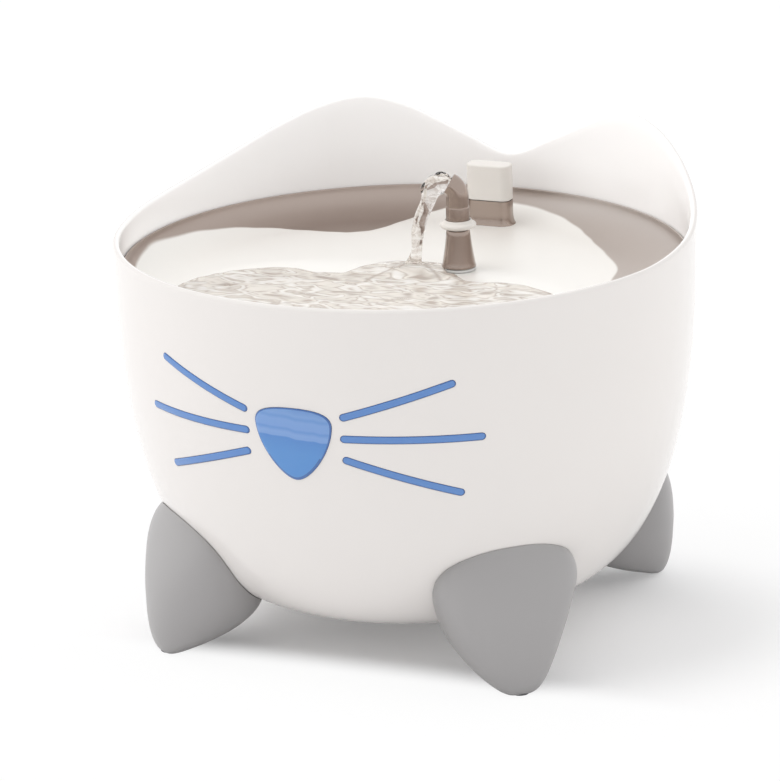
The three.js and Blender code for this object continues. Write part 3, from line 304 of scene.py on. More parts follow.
def on_bowl(across, height, offset, turn=0):
    """A point on the bowl's outside, drawn flat on a plane that faces the angle of turn."""
    radius = bowl_radius(height) + offset
    point = Vector((across, -math.sqrt(radius ** 2 - across ** 2), height))
    return Matrix.Rotation(turn, 3, "Z") @ point


def next_ring(bm, ring, points):
    """Extrudes a closed ring of vertices to new points, and keeps their order."""
    edges = [bm.edges.get(pair) for pair in zip(ring, ring[1:] + ring[:1])]
    made = bmesh.ops.extrude_edge_only(bm, edges=edges)["geom"]
    fresh = {item for item in made if isinstance(item, bmesh.types.BMVert)}
    follow = []
    for vert, point in zip(ring, points):
        twin = next(e.other_vert(vert) for e in vert.link_edges if e.other_vert(vert) in fresh)
        twin.co = point
        follow.append(twin)
    return follow


def fan_cap(bm, ring):
    bmesh.ops.poke(bm, faces=[bm.faces.new(ring)])


def lofted(bm, rings, cap=fan_cap):
    """A skin through rings of equal counts, with its two ends filled."""
    first = [bm.verts.new(point) for point in rings[0]]
    for pair in zip(first, first[1:] + first[:1]):
        bm.edges.new(pair)
    ring = first
    for points in rings[1:]:
        ring = next_ring(bm, ring, points)
    for end in (first, ring):
        cap(bm, end)
    bmesh.ops.remove_doubles(bm, verts=bm.verts, dist=1e-7)
    bmesh.ops.recalc_face_normals(bm, faces=bm.faces)


nose_half_width = 0.0168
nose_length = 0.0315
nose_tip = 0.0958
nose_steps = 24


def nose_outline(grow):
    """The rounded triangle of the nose as pairs of across and height."""
    w, h, base = nose_half_width + grow, nose_length + 2 * grow, nose_tip - grow
    bends = [
        [(0, base), (0.34 * w, base), (0.95 * w, base + 0.4 * h), (w, base + 0.76 * h)],
        [(w, base + 0.76 * h), (1.02 * w, base + 0.92 * h), (0.75 * w, base + h), (0, base + h)],
    ]
    bends += [[(-x, z) for x, z in reversed(bend)] for bend in reversed(bends)]
    outline = []
    for a, b, c, d in bends:
        for k in range(nose_steps):
            t = k / nose_steps
            mix = ((1 - t) ** 3, 3 * t * (1 - t) ** 2, 3 * t ** 2 * (1 - t), t ** 3)
            outline.append(tuple(sum(m * p[i] for m, p in zip(mix, (a, b, c, d))) for i in (0, 1)))
    return outline


whisker_width = 0.0028
whisker_recess = 0.0011
whisker_middle = 0.1153
whisker_pitch = 0.0093
whisker_fan = 0.0137
whisker_steps = 30
whisker_end_steps = 8

# Row, angles in degrees at which it starts and ends, and its rise as a share of the fan
whisker_rows = {"top": (1, 10.4, 31.1, 1), "middle": (0, 10.3, 36.8, -0.04), "bottom": (-1, 10.4, 32.6, -1.1)}


def strip_cap(bm, ring):
    """Fills a strip's outline with quads straight across it, and its round ends."""
    back = 2 * whisker_steps + whisker_end_steps
    for k in range(whisker_steps):
        bm.faces.new((ring[k], ring[k + 1], ring[back - k - 1], ring[back - k]))
    bm.faces.new(ring[whisker_steps:whisker_steps + whisker_end_steps + 1])
    bm.faces.new([*ring[back:], ring[0]])


def whisker_block(bm, row, side, layers):
    """A strip with round ends on the bowl, through layers of half width and offset."""
    place, start, end, rise = whisker_rows[row]
    middle = side * math.radians(start + end) / 2
    low = whisker_middle + place * whisker_pitch
    high = low + rise * whisker_fan
    reach = bowl_radius((low + high) / 2)
    near = Vector((reach * math.sin(side * math.radians(start) - middle), low))
    far = Vector((reach * math.sin(side * math.radians(end) - middle), high))
    along = (far - near).normalized()
    square = Vector((-along.y, along.x))
    spine = []
    for first, last, sense in ((near, far, 1), (far, near, -1)):
        for k in range(whisker_steps + 1):
            spine.append((first.lerp(last, k / whisker_steps), -sense * square))
        for k in range(1, whisker_end_steps):
            turn = math.pi * k / whisker_end_steps
            spine.append((last, sense * (along * math.sin(turn) - square * math.cos(turn))))
    rings = []
    for half, offset in layers:
        flat = [centre + half * direction for centre, direction in spine]
        rings.append([on_bowl(point.x, point.y, offset, middle) for point in flat])
    lofted(bm, rings, strip_cap)


dish_rim = 0.158
gland_height = dish_rim - 0.02
gland_radius = 0.0048

shell = bmesh.new()
lip = bowl_wall / 2
lip_centre = bowl_point(rim_height - lip, -lip)
lip_turns = [math.pi * k / lip_rows for k in range(1, lip_rows)]
lip_line = [(lip_centre[0] + lip * math.cos(t), lip_centre[1] + lip * math.sin(t)) for t in lip_turns]
outside = bowl_profile(0) + upper_profile(0)
inside = bowl_profile(-bowl_wall) + upper_profile(-bowl_wall)
floor_level = inside[0][1]
turned(shell, [(0, bowl_bottom), *outside, *lip_line, *reversed(inside), (0, floor_level)], bowl_sides)
for vert in shell.verts:
    if vert.co.z <= shoulder_height:
        continue
    turn = abs(math.degrees(math.atan2(vert.co.x, -vert.co.y)))
    stretch = min((vert.co.z - shoulder_height) / (rim_height - lip - shoulder_height), 1)
    height = vert.co.z + stretch * ear_rise * smooth_value(ear_edge_shares, turn)
    widen = bowl_radius(height) - bowl_radius(vert.co.z)
    radius = vert.co.xy.length
    vert.co.xy *= (radius + widen) / radius
    vert.co.z = height

openings = bmesh.new()
nose_hole = nose_outline(0)
lofted(openings, [[Vector((x, y, z)) for x, z in nose_hole] for y in (-rim_radius - lip, -0.85 * rim_radius)])
for side in (-1, 1):
    for row in whisker_rows:
        half = whisker_width / 2 + fit_gap
        layers = [(half, -whisker_recess), (half, bowl_wall)]
        whisker_block(openings, row, side, layers)
gland_ring = [
    [
        Vector((
            (gland_radius + fit_gap) * math.cos(2 * math.pi * k / 32), y,
            gland_height + (gland_radius + fit_gap) * math.sin(2 * math.pi * k / 32),
        ))
        for k in range(32)
    ]
    for y in (0.9 * rim_radius, 1.05 * rim_radius)
]
lofted(openings, gland_ring)
carve(shell, openings)
white_shell = moulded("white shell", tint(225, 221, 218), 0.16, mottle=0.012, relief=0.000008, spread=0.03)
# Painted light: the inside of the wall from just under the rim upwards is lighter
painted_inner_light(white_shell, tint(255, 253, 252))
make_piece("bowl", shell, white_shell, "housing", "white_shell", "bowl_shell")

# Ribs and posts in the bowl. Moulded with it: six gussets carry the dish and four
# hollow posts take the screws of the paws.
dish_depth = 0.0108
dish_sheet = 0.0008
dish_inner_radius = rim_radius - bowl_wall - 0.00045 - dish_sheet
dish_floor = dish_rim - dish_depth
dish_floor_radius = dish_inner_radius - 0.02245
rib_count = 6
rib_thickness = 0.0024
rib_length = 0.014
rib_height = 0.04
rib_top = dish_rim - 0.005
post_radius = 0.0045
paw_screw_distance = 0.088
paw_screw_seat = 0.011
paw_screw_web = 0.005
paw_screw_length = 0.013
shank_radius = 0.0014

ribs = bmesh.new()
rib_outer = rim_radius - bowl_wall + lip
rib_inner = rim_radius - bowl_wall - rib_length
for k in range(rib_count):
    under = dish_sheet + fit_gap
    outline = [(rib_outer, rib_top - rib_height), (rib_outer, rib_top)]
    for step in range(7):
        reach = dish_inner_radius + under - (dish_inner_radius + under - rib_inner) * step / 6
        rise = (reach - dish_floor_radius) / (dish_inner_radius + under - dish_floor_radius)
        height = dish_rim - (dish_depth + under) * math.sqrt(max(1 - rise ** 2, 0))
        outline.append((reach, min(height, rib_top)))
    outline.append((rib_inner, rib_top - rib_height / 2))
    corners = [ribs.verts.new((x, -rib_thickness / 2, z)) for x, z in outline]
    face = ribs.faces.new(corners)
    raised = bmesh.ops.extrude_face_region(ribs, geom=[face])["geom"]
    raised = [item for item in raised if isinstance(item, bmesh.types.BMVert)]
    bmesh.ops.translate(ribs, verts=raised, vec=(0, rib_thickness, 0))
    angle = 2 * math.pi * (k + 0.5) / rib_count - math.pi / 2
    bmesh.ops.rotate(ribs, verts=corners + raised, matrix=Matrix.Rotation(angle, 3, "Z"))
bmesh.ops.remove_doubles(ribs, verts=ribs.verts, dist=1e-7)
bmesh.ops.recalc_face_normals(ribs, faces=ribs.faces)
carve(ribs, bowl_core(-lip), "INTERSECT")
post_bottom = paw_screw_seat + paw_screw_web + fit_gap
post_top = bowl_bottom + (shoulder_height - bowl_bottom) * 0.16
paw_turns = {
    "front_right": math.radians(45), "rear_right": math.radians(135),
    "rear_left": math.radians(225), "front_left": math.radians(315),
}
posts = bmesh.new()
for turn in paw_turns.values():
    centre = (paw_screw_distance * math.sin(turn), -paw_screw_distance * math.cos(turn))
    bore = shank_radius + fit_gap
    profile = [
        (bore, post_bottom), (post_radius - fit_gap, post_bottom), (post_radius, post_bottom + fit_gap),
        (post_radius, post_top), (bore, post_top),
    ]
    turned(posts, profile, 32, centre, closed=True)
carve(posts, bowl_core(-lip))
make_piece("dish_ribs", ribs, white_shell, "housing", "white_shell")
make_piece("paw_posts", posts, white_shell, "housing", "white_shell")

# Paws. Four teardrop feet of satin grey plastic, shaped to the belly and screwed to it
# from below, each with a soft round pad let into its sole.
foot_reach = 0.12
foot_top = 0.066
foot_half_width = 0.031
foot_power = 2.25
foot_sides = 72
foot_rows = 6
sole_distance = 0.112
sole_pad_radius = 0.004
sole_pad_thickness = 0.0012
screw_room_radius = 0.0031
screw_head_radius = 0.0028
screw_head_depth = 0.002
cross_length, cross_width, cross_depth = 0.0034, 0.0009, 0.0024
under_sole = -0.001

# Height, outer reach, inner reach and half width, each as a share of the paw's own size
foot_section_shares = [
    (0.006, 0.963, 0.905, 0.19), (0.03, 0.976, 0.862, 0.29), (0.085, 0.989, 0.765, 0.43),
    (0.17, 0.998, 0.665, 0.575), (0.3, 1, 0.6, 0.74), (0.48, 0.993, 0.61, 0.9),
    (0.68, 0.969, 0.68, 1), (0.84, 0.937, 0.73, 0.87), (1, 0.895, 0.78, 0.42),
]


def foot_ring(rise, outer, inner, width):
    middle = foot_reach * (outer + inner) / 2
    half = foot_reach * (outer - inner) / 2
    ring = []
    for k in range(foot_sides):
        turn = 2 * math.pi * k / foot_sides
        out, side = math.cos(turn), math.sin(turn)
        scale = (abs(out) ** foot_power + abs(side) ** foot_power) ** (-1 / foot_power)
        across = foot_half_width * width * side * scale
        ring.append(Vector((across, -(middle + half * out * scale), foot_top * rise)))
    return ring


def foot_rings():
    tables = [
        [(k, row[column]) for k, row in enumerate(foot_section_shares)] for column in range(4)
    ]
    count = (len(foot_section_shares) - 1) * foot_rows
    return [
        foot_ring(*(smooth_value(table, k / foot_rows) for table in tables)) for k in range(count + 1)
    ]


def upright(bm, radius, low, high, x, y, sides=32):
    turned(bm, [(0, low), (radius, low), (radius, high), (0, high)], sides, (x, y))


def cross_screw(y, seat):
    """A screw driven up from below, its head under a seat, with a cross recess."""
    screw = bmesh.new()
    head = seat - screw_head_depth
    turned(screw, [
        (0, head), (0.0019, head), (0.0025, head + 0.0003), (screw_head_radius, head + 0.001),
        (screw_head_radius, seat), (shank_radius, seat),
        (shank_radius, seat + paw_screw_length - shank_radius), (0, seat + paw_screw_length),
    ], 32, (0, y))
    for size in ((cross_length, cross_width, cross_depth), (cross_width, cross_length, cross_depth)):
        blade = bmesh.new()
        bmesh.ops.create_cube(blade, size=1)
        bmesh.ops.scale(blade, verts=blade.verts, vec=size)
        bmesh.ops.translate(blade, verts=blade.verts, vec=(0, y, head))
        carve(screw, blade)
    return screw


grey_paw = moulded("grey paw", tint(158, 156, 156), 0.36, mottle=0.03, grain=2600, relief=0.00003)
rubber = moulded("rubber", tint(96, 96, 99), 0.75, mottle=0.06, cloud=60, grain=2200, relief=0.00005)
screw_steel = moulded("screw steel", tint(186, 186, 188), 0.3, mottle=0.05, cloud=200, relief=0.00001)
screw_steel.node_tree.nodes["Principled BSDF"].inputs["Metallic"].default_value = 1
for name, turn in paw_turns.items():
    spin = Matrix.Rotation(turn, 3, "Z")
    foot = bmesh.new()
    lofted(foot, foot_rings())
    rooms = bmesh.new()
    upright(rooms, screw_room_radius, under_sole, paw_screw_seat, 0, -paw_screw_distance)
    upright(rooms, sole_pad_radius + fit_gap, under_sole, sole_pad_thickness + fit_gap, 0, -sole_distance)
    carve(foot, rooms)
    holes = bmesh.new()
    upright(holes, shank_radius + fit_gap, under_sole, foot_top, 0, -paw_screw_distance)
    carve(foot, holes)
    seat = bmesh.new()
    upright(seat, post_radius + fit_gap, paw_screw_seat + paw_screw_web, foot_top, 0, -paw_screw_distance)
    carve(foot, seat)
    carve(foot, bowl_core(fit_gap))
    bmesh.ops.rotate(foot, verts=foot.verts, matrix=spin)
    make_piece(f"paw_{name}", foot, grey_paw, "housing", "grey_paw", f"foot_{name}", sharp=40)

    pad = bmesh.new()
    edge = sole_pad_radius - fit_gap
    turned(pad, [
        (0, 0), (edge, 0), (sole_pad_radius, fit_gap), (sole_pad_radius, sole_pad_thickness),
        (0, sole_pad_thickness),
    ], 48, (0, -sole_distance))
    bmesh.ops.rotate(pad, verts=pad.verts, matrix=spin)
    make_piece(f"sole_pad_{name}", pad, rubber, "housing", "rubber", f"foot_pad_{name}")

    screw = cross_screw(-paw_screw_distance, paw_screw_seat - fit_gap)
    bmesh.ops.rotate(screw, verts=screw.verts, matrix=spin)
    make_piece(f"paw_screw_{name}", screw, screw_steel, "housing", "screw_steel", f"foot_screw_{name}")

# Nose. A clear blue moulded window that shows the water level: a thick lens with a
# bevelled edge, clamped from inside by its flange, the seal and the retaining frame.
nose_proud = 0.0009
nose_flange_width = 0.003
nose_flange_face = -bowl_wall - 0.0012 - 2 * fit_gap
nose_flange_back = nose_flange_face - 0.0016


def inlay(name, colour):
    """Blue translucent plastic: clear gloss over a soft body colour."""
    material = moulded(name, colour, 0.12, mottle=0.02, cloud=60, relief=0.000004, spread=0.02)
    fill_inputs(material.node_tree.nodes["Principled BSDF"], {
        "Coat Weight": 0.5, "Coat Roughness": 0.04, "Subsurface Weight": 0.15,
        "Subsurface Radius": (0.002, 0.003, 0.006), "Subsurface Scale": 0.6,
    })
    return material


def colour_ramp(tree, share, stops, curve="LINEAR"):
    """Colours at shares of 0 to 1; the lowest and the highest share come first."""
    ramp = add_node(tree, "ValToRGB", {"Fac": share})
    ramp.color_ramp.interpolation = curve
    elements = ramp.color_ramp.elements
    for k, (at, colour) in enumerate(stops):
        stop = elements[k] if k < 2 else elements.new(at)
        stop.position, stop.color = at, colour
    return ramp.outputs["Color"]


# The water level behind the nose: its fall to the right, its waves' height and closeness
level_slope = 0.07
level_wave = 0.0017
level_closeness = 120
level_headroom = 0.0013


def water_line_and_painted_sheen(material):
    """Shows the water behind the window, lighter above a slightly sloping wavy level, with stripes of painted
    highlight and painted shade.
    """
    tree, colour, place = recoloured(material)
    split = add_node(tree, "SeparateXYZ", {"Vector": place})
    parts = {"W": split.outputs["X"], "Scale": level_closeness, "Detail": 1}
    sway = add_node(tree, "TexNoise", parts, noise_dimensions="1D").outputs["Fac"]
    slope = worked_out(tree, "MULTIPLY_ADD", split.outputs["X"], level_slope, split.outputs["Z"])
    wavy = worked_out(tree, "MULTIPLY_ADD", sway, level_wave, slope)
    level = scaled(tree, wavy, (nose_tip, nose_tip + nose_length + level_headroom))
    bands = [(share, tint(*shade)) for share, shade in nose_level_and_painted_sheen]
    tree.links.new(colour_ramp(tree, level, bands), colour)


def paint_edge_shade(piece, material):
    """Gives an inlay's bevel a darker blue of painted shade, on the faces that turn away from straight out.
    """
    piece.data.materials.append(material)
    for face in piece.data.polygons:
        outward = Vector((face.center.x, face.center.y, 0)).normalized()
        if -0.3 < face.normal.dot(outward) < 0.95:
            face.material_index = 1


def middle_of(outline):
    return tuple(sum(point[i] for point in outline) / len(outline) for i in (0, 1))


# Share of the nose's height, and the colour there: darker below the water's level, and above it lighter and
# darker stripes of painted highlight and painted shade
nose_level_and_painted_sheen = [
    (0, (74, 134, 198)), (1, (97, 138, 194)), (0.12, (78, 136, 199)), (0.4, (80, 136, 198)),
    (0.585, (76, 129, 193)), (0.6, (112, 150, 204)), (0.65, (118, 154, 206)), (0.7, (96, 139, 198)),
    (0.73, (112, 150, 204)), (0.82, (114, 151, 204)), (0.86, (99, 141, 198)), (0.9, (112, 150, 202)),
]
inlay_growth = 0.00018
nose_blue = inlay("nose blue", tint(94, 143, 205))
water_line_and_painted_sheen(nose_blue)
# A darker copy of the blue, painted onto the bevels as shade
painted_shade_blue = inlay("painted shade blue", tint(62, 102, 162))
nose_edge = inlay_growth - fit_gap
window = bmesh.new()
centre = middle_of(nose_outline(-fit_gap))
# Share of the outline's reach from its middle, growth of the outline, and offset from the bowl
nose_layers = [(share, nose_flange_width, nose_flange_back) for share in (0.02, 0.3, 0.6, 0.85, 1)]
nose_layers += [(1, nose_flange_width, nose_flange_face), (1, -fit_gap, nose_flange_face)]
nose_layers += [(1, -fit_gap, -bowl_wall), (1, nose_edge, 0), (1, nose_edge, 0.25 * nose_proud)]
nose_layers += [
    (1 - 0.012, nose_edge, 0.5 * nose_proud), (1 - 0.035, nose_edge, 0.72 * nose_proud),
    (1 - 0.07, nose_edge, 0.86 * nose_proud), (1 - 0.1, nose_edge, 0.92 * nose_proud),
    (0.8, nose_edge, 0.98 * nose_proud), (0.6, nose_edge, nose_proud), (0.4, nose_edge, nose_proud),
    (0.2, nose_edge, nose_proud), (0.02, nose_edge, nose_proud),
]
rings = []
for share, grow, offset in nose_layers:
    ring = []
    for x, z in nose_outline(grow):
        flat = (centre[0] + share * (x - centre[0]), centre[1] + share * (z - centre[1]))
        ring.append(on_bowl(*flat, offset))
    rings.append(ring)
lofted(window, rings)
nose_lens = make_piece("nose_lens", window, nose_blue, "housing", "blue_inlay", "nose_window")
paint_edge_shade(nose_lens, painted_shade_blue)

# Whiskers. Six slim strips of the same blue plastic, pressed into shallow recesses in
# the bowl and standing a little proud of it with a softly rounded face.
whisker_proud = 0.00035
whisker_blue = inlay("whisker blue", tint(84, 130, 192))
half = whisker_width / 2 + inlay_growth
whisker_layers = [
    (half, fit_gap - whisker_recess), (half, 0), (0.95 * half, 0.4 * whisker_proud),
    (0.84 * half, 0.72 * whisker_proud), (0.72 * half, 0.92 * whisker_proud), (0.5 * half, whisker_proud),
]
for side, word in ((-1, "left"), (1, "right")):
    for row in whisker_rows:
        strip = bmesh.new()
        whisker_block(strip, row, side, whisker_layers)
        whisker = make_piece(
            f"{word}_whisker_{row}", strip, whisker_blue, "housing", "blue_inlay", f"whisker_{word}_{row}",
        )
        paint_edge_shade(whisker, painted_shade_blue)

# Cable gland. A soft dark grey grommet, pushed through the back wall from inside, under
# the dish; the pump's cable itself isn't part of this object.
gland_bore = 0.0032
gland_flange = 0.0066
gland_thickness = 0.0012
gland_face = bowl_point(gland_height, 0)[0]
gland_wall = bowl_point(gland_height - gland_flange, -bowl_wall)[0]
gland_seat = math.sqrt(gland_wall ** 2 - 2 * gland_flange ** 2) - fit_gap
gland_near = gland_seat - gland_thickness
gland = bmesh.new()
round_off = fit_gap
turned(gland, [
    (gland_bore, gland_near), (gland_flange - round_off, gland_near), (gland_flange, gland_near + round_off),
    (gland_flange, gland_seat - round_off), (gland_flange - round_off, gland_seat),
    (gland_radius, gland_seat), (gland_radius, gland_face - fit_gap - round_off),
    (gland_radius - round_off, gland_face - fit_gap), (gland_bore + round_off, gland_face - fit_gap),
    (gland_bore, gland_face - fit_gap - round_off),
], 48, closed=True)
bmesh.ops.rotate(gland, verts=gland.verts, matrix=Matrix.Rotation(-math.pi / 2, 3, "X"))
bmesh.ops.translate(gland, verts=gland.verts, vec=(0, 0, gland_height))
make_piece("gland_grommet", gland, rubber, "housing", "rubber", "cable_gland")

# Drinking dish. Pressed from one sheet of satin steel: a flat deck with a shallow basin
# at the front, a wall that curves up to the rounded rim, and an upright sleeve at the
# back that carries the lift grip. Slots at the front let the water run back.
dish_sides = 192
basin_front_margin = 0.004
basin_rear = 0.002
basin_depth = 0.0085
basin_slope = 0.009
basin_power = 2.6
basin_margin = 0.002
basin_half_width = dish_floor_radius - 0.011
basin_half_length = (dish_floor_radius - basin_front_margin + basin_rear) / 2
basin_forward = (dish_floor_radius - basin_front_margin - basin_rear) / 2
basin_floor = dish_floor - basin_depth
basin_rows = 14
wall_rows_up = 24
rim_turns = 6
grip_half_width = 0.01
grip_front = rim_radius - 0.03
grip_rear = grip_front + 0.0101
grip_corner = 0.004
sleeve_flare = 0.0016
sleeve_flare_height = 0.005
corner_steps = 10


def rounded_ring(half, front, back, corner, height):
    """A rectangle with rounded corners in plan, as points at one height."""
    centres = [(half - corner, front + corner), (half - corner, back - corner)]
    centres += [(-x, y) for x, y in reversed(centres)]
    points = []
    for k, (x, y) in enumerate(centres):
        for step in range(corner_steps + 1):
            turn = math.pi / 2 * (k - 1 + step / corner_steps)
            points.append(Vector((x + corner * math.cos(turn), y + corner * math.sin(turn), height)))
    return points


def grip_ring(grow, height):
    return rounded_ring(
        grip_half_width + grow, grip_front - grow, grip_rear + grow, grip_corner + grow, height,
    )


def dish_ring(radius, height):
    turns = (2 * math.pi * k / dish_sides for k in range(dish_sides))
    return [Vector((radius * math.sin(turn), -radius * math.cos(turn), height)) for turn in turns]


def basin_ring(grow, inset, height):
    """The basin's rounded oblong, held inside the dish's round floor."""
    reach = dish_floor_radius - basin_margin + grow - inset
    points = []
    for direction in dish_ring(1, 0):
        across, ahead = direction.x, -direction.y
        scale = (abs(across) ** basin_power + abs(ahead) ** basin_power) ** (-1 / basin_power)
        x = (basin_half_width + grow - inset) * across * scale
        y = -basin_forward - (basin_half_length + grow - inset) * ahead * scale
        inward = min(1, reach / math.hypot(x, y))
        points.append(Vector((x * inward, y * inward, height)))
    return points


# Height as a share of the basin's depth, and inset as a share of its slope
basin_inset_shares = [(0, 1), (0.35, 0.5), (0.88, 0.1), (1, 0)]


def dish_face(sheet):
    """Rings from the basin's middle to the rim: the upper face, or the lower one under the sheet."""
    floor_ring = basin_ring(sheet, basin_slope, basin_floor - sheet)
    middle = Vector((0, -basin_forward, basin_floor - sheet))
    rings = [[middle.lerp(point, share) for point in floor_ring] for share in (0.03, 0.3, 0.6, 0.85)]
    for k in range(basin_rows + 1):
        rise = k / basin_rows
        soft = rise ** 2 * (3 - 2 * rise)
        height = basin_floor - sheet + basin_depth * (rise + soft) / 2
        rings.append(basin_ring(sheet, basin_slope * smooth_value(basin_inset_shares, rise), height))
    edge, deck = rings[-1], dish_ring(dish_floor_radius, dish_floor - sheet)
    rings += [[point.lerp(target, share) for point, target in zip(edge, deck)] for share in (0.3, 0.7)]
    run = dish_inner_radius - dish_floor_radius + sheet
    drop = dish_depth - dish_sheet / 2 + sheet
    for k in range(wall_rows_up + 1):
        turn = math.pi / 2 * k / wall_rows_up
        radius = dish_floor_radius + run * math.sin(turn)
        rings.append(dish_ring(radius, dish_rim - dish_sheet / 2 - drop * math.cos(turn)))
    return rings


def sleeve_post(sheet, low, high):
    """The sleeve's outside with its flared foot, or its room when it is drawn in by the sheet."""
    rings = [grip_ring(sleeve_flare - sheet, low)]
    for k in range(11):
        turn = math.pi / 2 * k / 10
        flare = sleeve_flare * (1 - math.sin(turn))
        rise = sleeve_flare_height * (1 - math.cos(turn))
        rings.append(grip_ring(flare - sheet, dish_floor - sheet + rise))
    post = bmesh.new()
    lofted(post, [*rings, grip_ring(-sheet, high)])
    return post


spout_x, spout_y = 0.015, 0.023
spout_tail_radius = 0.005
drain_width = 0.0034
drain_length = 0.01
drain_far = dish_floor_radius + 0.005
drain_turn = 0.012 / dish_inner_radius
drain_slots = 7

dish = bmesh.new()
rim_middle = dish_inner_radius + dish_sheet / 2
rim_rings = []
for k in range(1, rim_turns):
    turn = math.pi * (1 - k / rim_turns)
    rim_rings.append(dish_ring(
        rim_middle + dish_sheet / 2 * math.cos(turn),
        dish_rim - dish_sheet / 2 * (1 - math.sin(turn)),
    ))
lofted(dish, [*dish_face(0), *rim_rings, *reversed(dish_face(dish_sheet))])
carve(dish, sleeve_post(0, dish_floor - dish_sheet / 2, dish_rim), "UNION")
carve(dish, sleeve_post(dish_sheet, basin_floor, dish_rim + dish_depth))
punches = bmesh.new()
upright(punches, spout_tail_radius + fit_gap, basin_floor, dish_rim, spout_x, spout_y, 48)
for s in range(drain_slots):
    turn = Matrix.Rotation((s - (drain_slots - 1) / 2) * drain_turn, 3, "Z")
    far_end = -drain_far - drain_length
    outline = rounded_ring(drain_width / 2, far_end, -drain_far, 0.999 * drain_width / 2, 0)
    lofted(punches, [
        [turn @ (point + Vector((0, 0, height))) for point in outline] for height in (basin_floor, dish_rim)
    ])
carve(dish, punches)


def satin_steel(name, colour, roughness, uneven=0.02, streak=0.03):
    """Brushed and polished steel: fine uneven gloss with faint streaks."""
    material, tree, shader, place = new_material(name)
    streaked = (*(value * (1 - streak) for value in colour[:3]), 1)
    streaks, grain = noise_value(tree, place, 25), noise_value(tree, place, 900, 3)
    fill_inputs(shader, {
        "Metallic": 1, "Base Color": mixed(tree, streaks, streaked, colour),
        "Roughness": scaled(tree, grain, (0, 1), (roughness - uneven, roughness + uneven)),
    })
    return material


# Angle from the front in degrees, and the radius in millimetres where the dish's pale brushed floor meets the
# painted reflection on its wall
painted_reflection_radii = [
    (-180, 115), (-172, 113), (-166, 109), (-160, 102), (-154, 91.5), (-148, 84), (-142, 83),
    (-138, 85), (-132, 92.5), (-126, 102), (-118, 109.5), (-108, 114), (-98, 116), (-86, 117),
    (-60, 112), (0, 106), (70, 96), (104, 87), (118, 90), (134, 92), (146, 97), (154, 103),
    (162, 109), (170, 113), (180, 115),
]


# Radii in millimetres between which that line swings, half the width of its soft edge, and where across the
# dish the wall's painted shade changes from that of the left to that of the right
painted_reflection_reach = (80, 120)
painted_reflection_softness = 0.018
painted_shade_span = (-0.03, 0.04)


def painted_wall_reflection(material, floor_metal, painted_reflection_left, painted_reflection_right):
    """Paints a darker reflection onto the dish's wall outside a line that swings with the angle, lighter on
    the right, and makes the wall fully metallic there.
    """
    tree, colour, place = recoloured(material)
    floor_colour = colour.links[0].from_socket
    split = add_node(tree, "SeparateXYZ", {"Vector": place})
    ahead = worked_out(tree, "MULTIPLY", split.outputs["Y"], -1)
    angle = worked_out(tree, "ARCTAN2", split.outputs["X"], ahead)
    low, high = painted_reflection_reach
    stops = []
    for degrees, radius in (painted_reflection_radii[0], painted_reflection_radii[-1], *painted_reflection_radii[1:-1]):
        share = (radius - low) / (high - low)
        stops.append(((degrees + 180) / 360, (share, share, share, 1)))
    reflection_border = colour_ramp(tree, scaled(tree, angle, (-math.pi, math.pi)), stops, "CARDINAL")
    reach = scaled(tree, axis_distance(tree, place), (low / 1000, high / 1000))
    beyond = worked_out(tree, "SUBTRACT", reach, reflection_border)
    edge = scaled(tree, beyond, (-painted_reflection_softness, painted_reflection_softness), smooth=True)
    side = scaled(tree, split.outputs["X"], painted_shade_span, smooth=True)
    wall = mixed(tree, side, painted_reflection_left, painted_reflection_right)
    tree.links.new(mixed(tree, edge, floor_colour, wall), colour)
    metal = scaled(tree, edge, (0, 1), (floor_metal, 1))
    tree.links.new(metal, tree.nodes["Principled BSDF"].inputs["Metallic"])


# The spout's steel is a dark warm taupe: painted reflection of darker surroundings
painted_reflection_steel = satin_steel("painted reflection steel", tint(164, 148, 138), 0.24, uneven=0.01)
polish = {"Coat Weight": 0.6, "Coat Roughness": 0.12}
fill_inputs(painted_reflection_steel.node_tree.nodes["Principled BSDF"], polish)
plain_steel = satin_steel("plain steel", tint(214, 208, 203), 0.3)
dish_steel = satin_steel("dish steel", tint(250, 248, 244), 0.4)
# Painted reflection and shade on the dish's wall: a warm darker band, lighter to the right
painted_wall_reflection(dish_steel, 0.4, tint(178, 164, 156), tint(202, 193, 187))


def dish_level(point):
    """Height of the dish's upper face under a point of the deck or the basin."""
    if point.length > dish_floor_radius:
        rise = min((point.length - dish_floor_radius) / (dish_inner_radius - dish_floor_radius), 1)
        return dish_rim - dish_depth * math.sqrt(1 - rise ** 2)
    across = abs(point.x) / basin_half_width
    ahead = abs(point.y + basin_forward) / basin_half_length
    gauge = (across ** basin_power + ahead ** basin_power) ** (1 / basin_power)
    inside = min((1 - gauge) * basin_half_length, dish_floor_radius - basin_margin - point.length)
    if inside <= 0:
        return dish_floor
    if inside >= basin_slope:
        return basin_floor
    share = 1 - inside / basin_slope
    low, high = 0, 1
    for _ in range(24):
        rise = (low + high) / 2
        if smooth_value(basin_inset_shares, rise) > 1 - share:
            low = rise
        else:
            high = rise
    soft = low ** 2 * (3 - 2 * low)
    return basin_floor + basin_depth * (0.5 * low + 0.5 * soft)


steel_dish = make_piece("steel_dish", dish, dish_steel, "dish", "steel", "drinking_dish", sharp=40)
# The sleeve's faces above the deck take that darker steel: painted reflection of the grip's shaded underside
steel_dish.data.materials.append(painted_reflection_steel)
for face in steel_dish.data.polygons:
    x, y, height = face.center
    across = max(abs(x) - grip_half_width + grip_corner, 0)
    along = max(grip_front + grip_corner - y, y - grip_rear + grip_corner, 0)
    near_sleeve = math.hypot(across, along) - grip_corner < sleeve_flare
    if near_sleeve and height > dish_level(Vector((x, y))) + 0.00005:
        face.material_index = 1

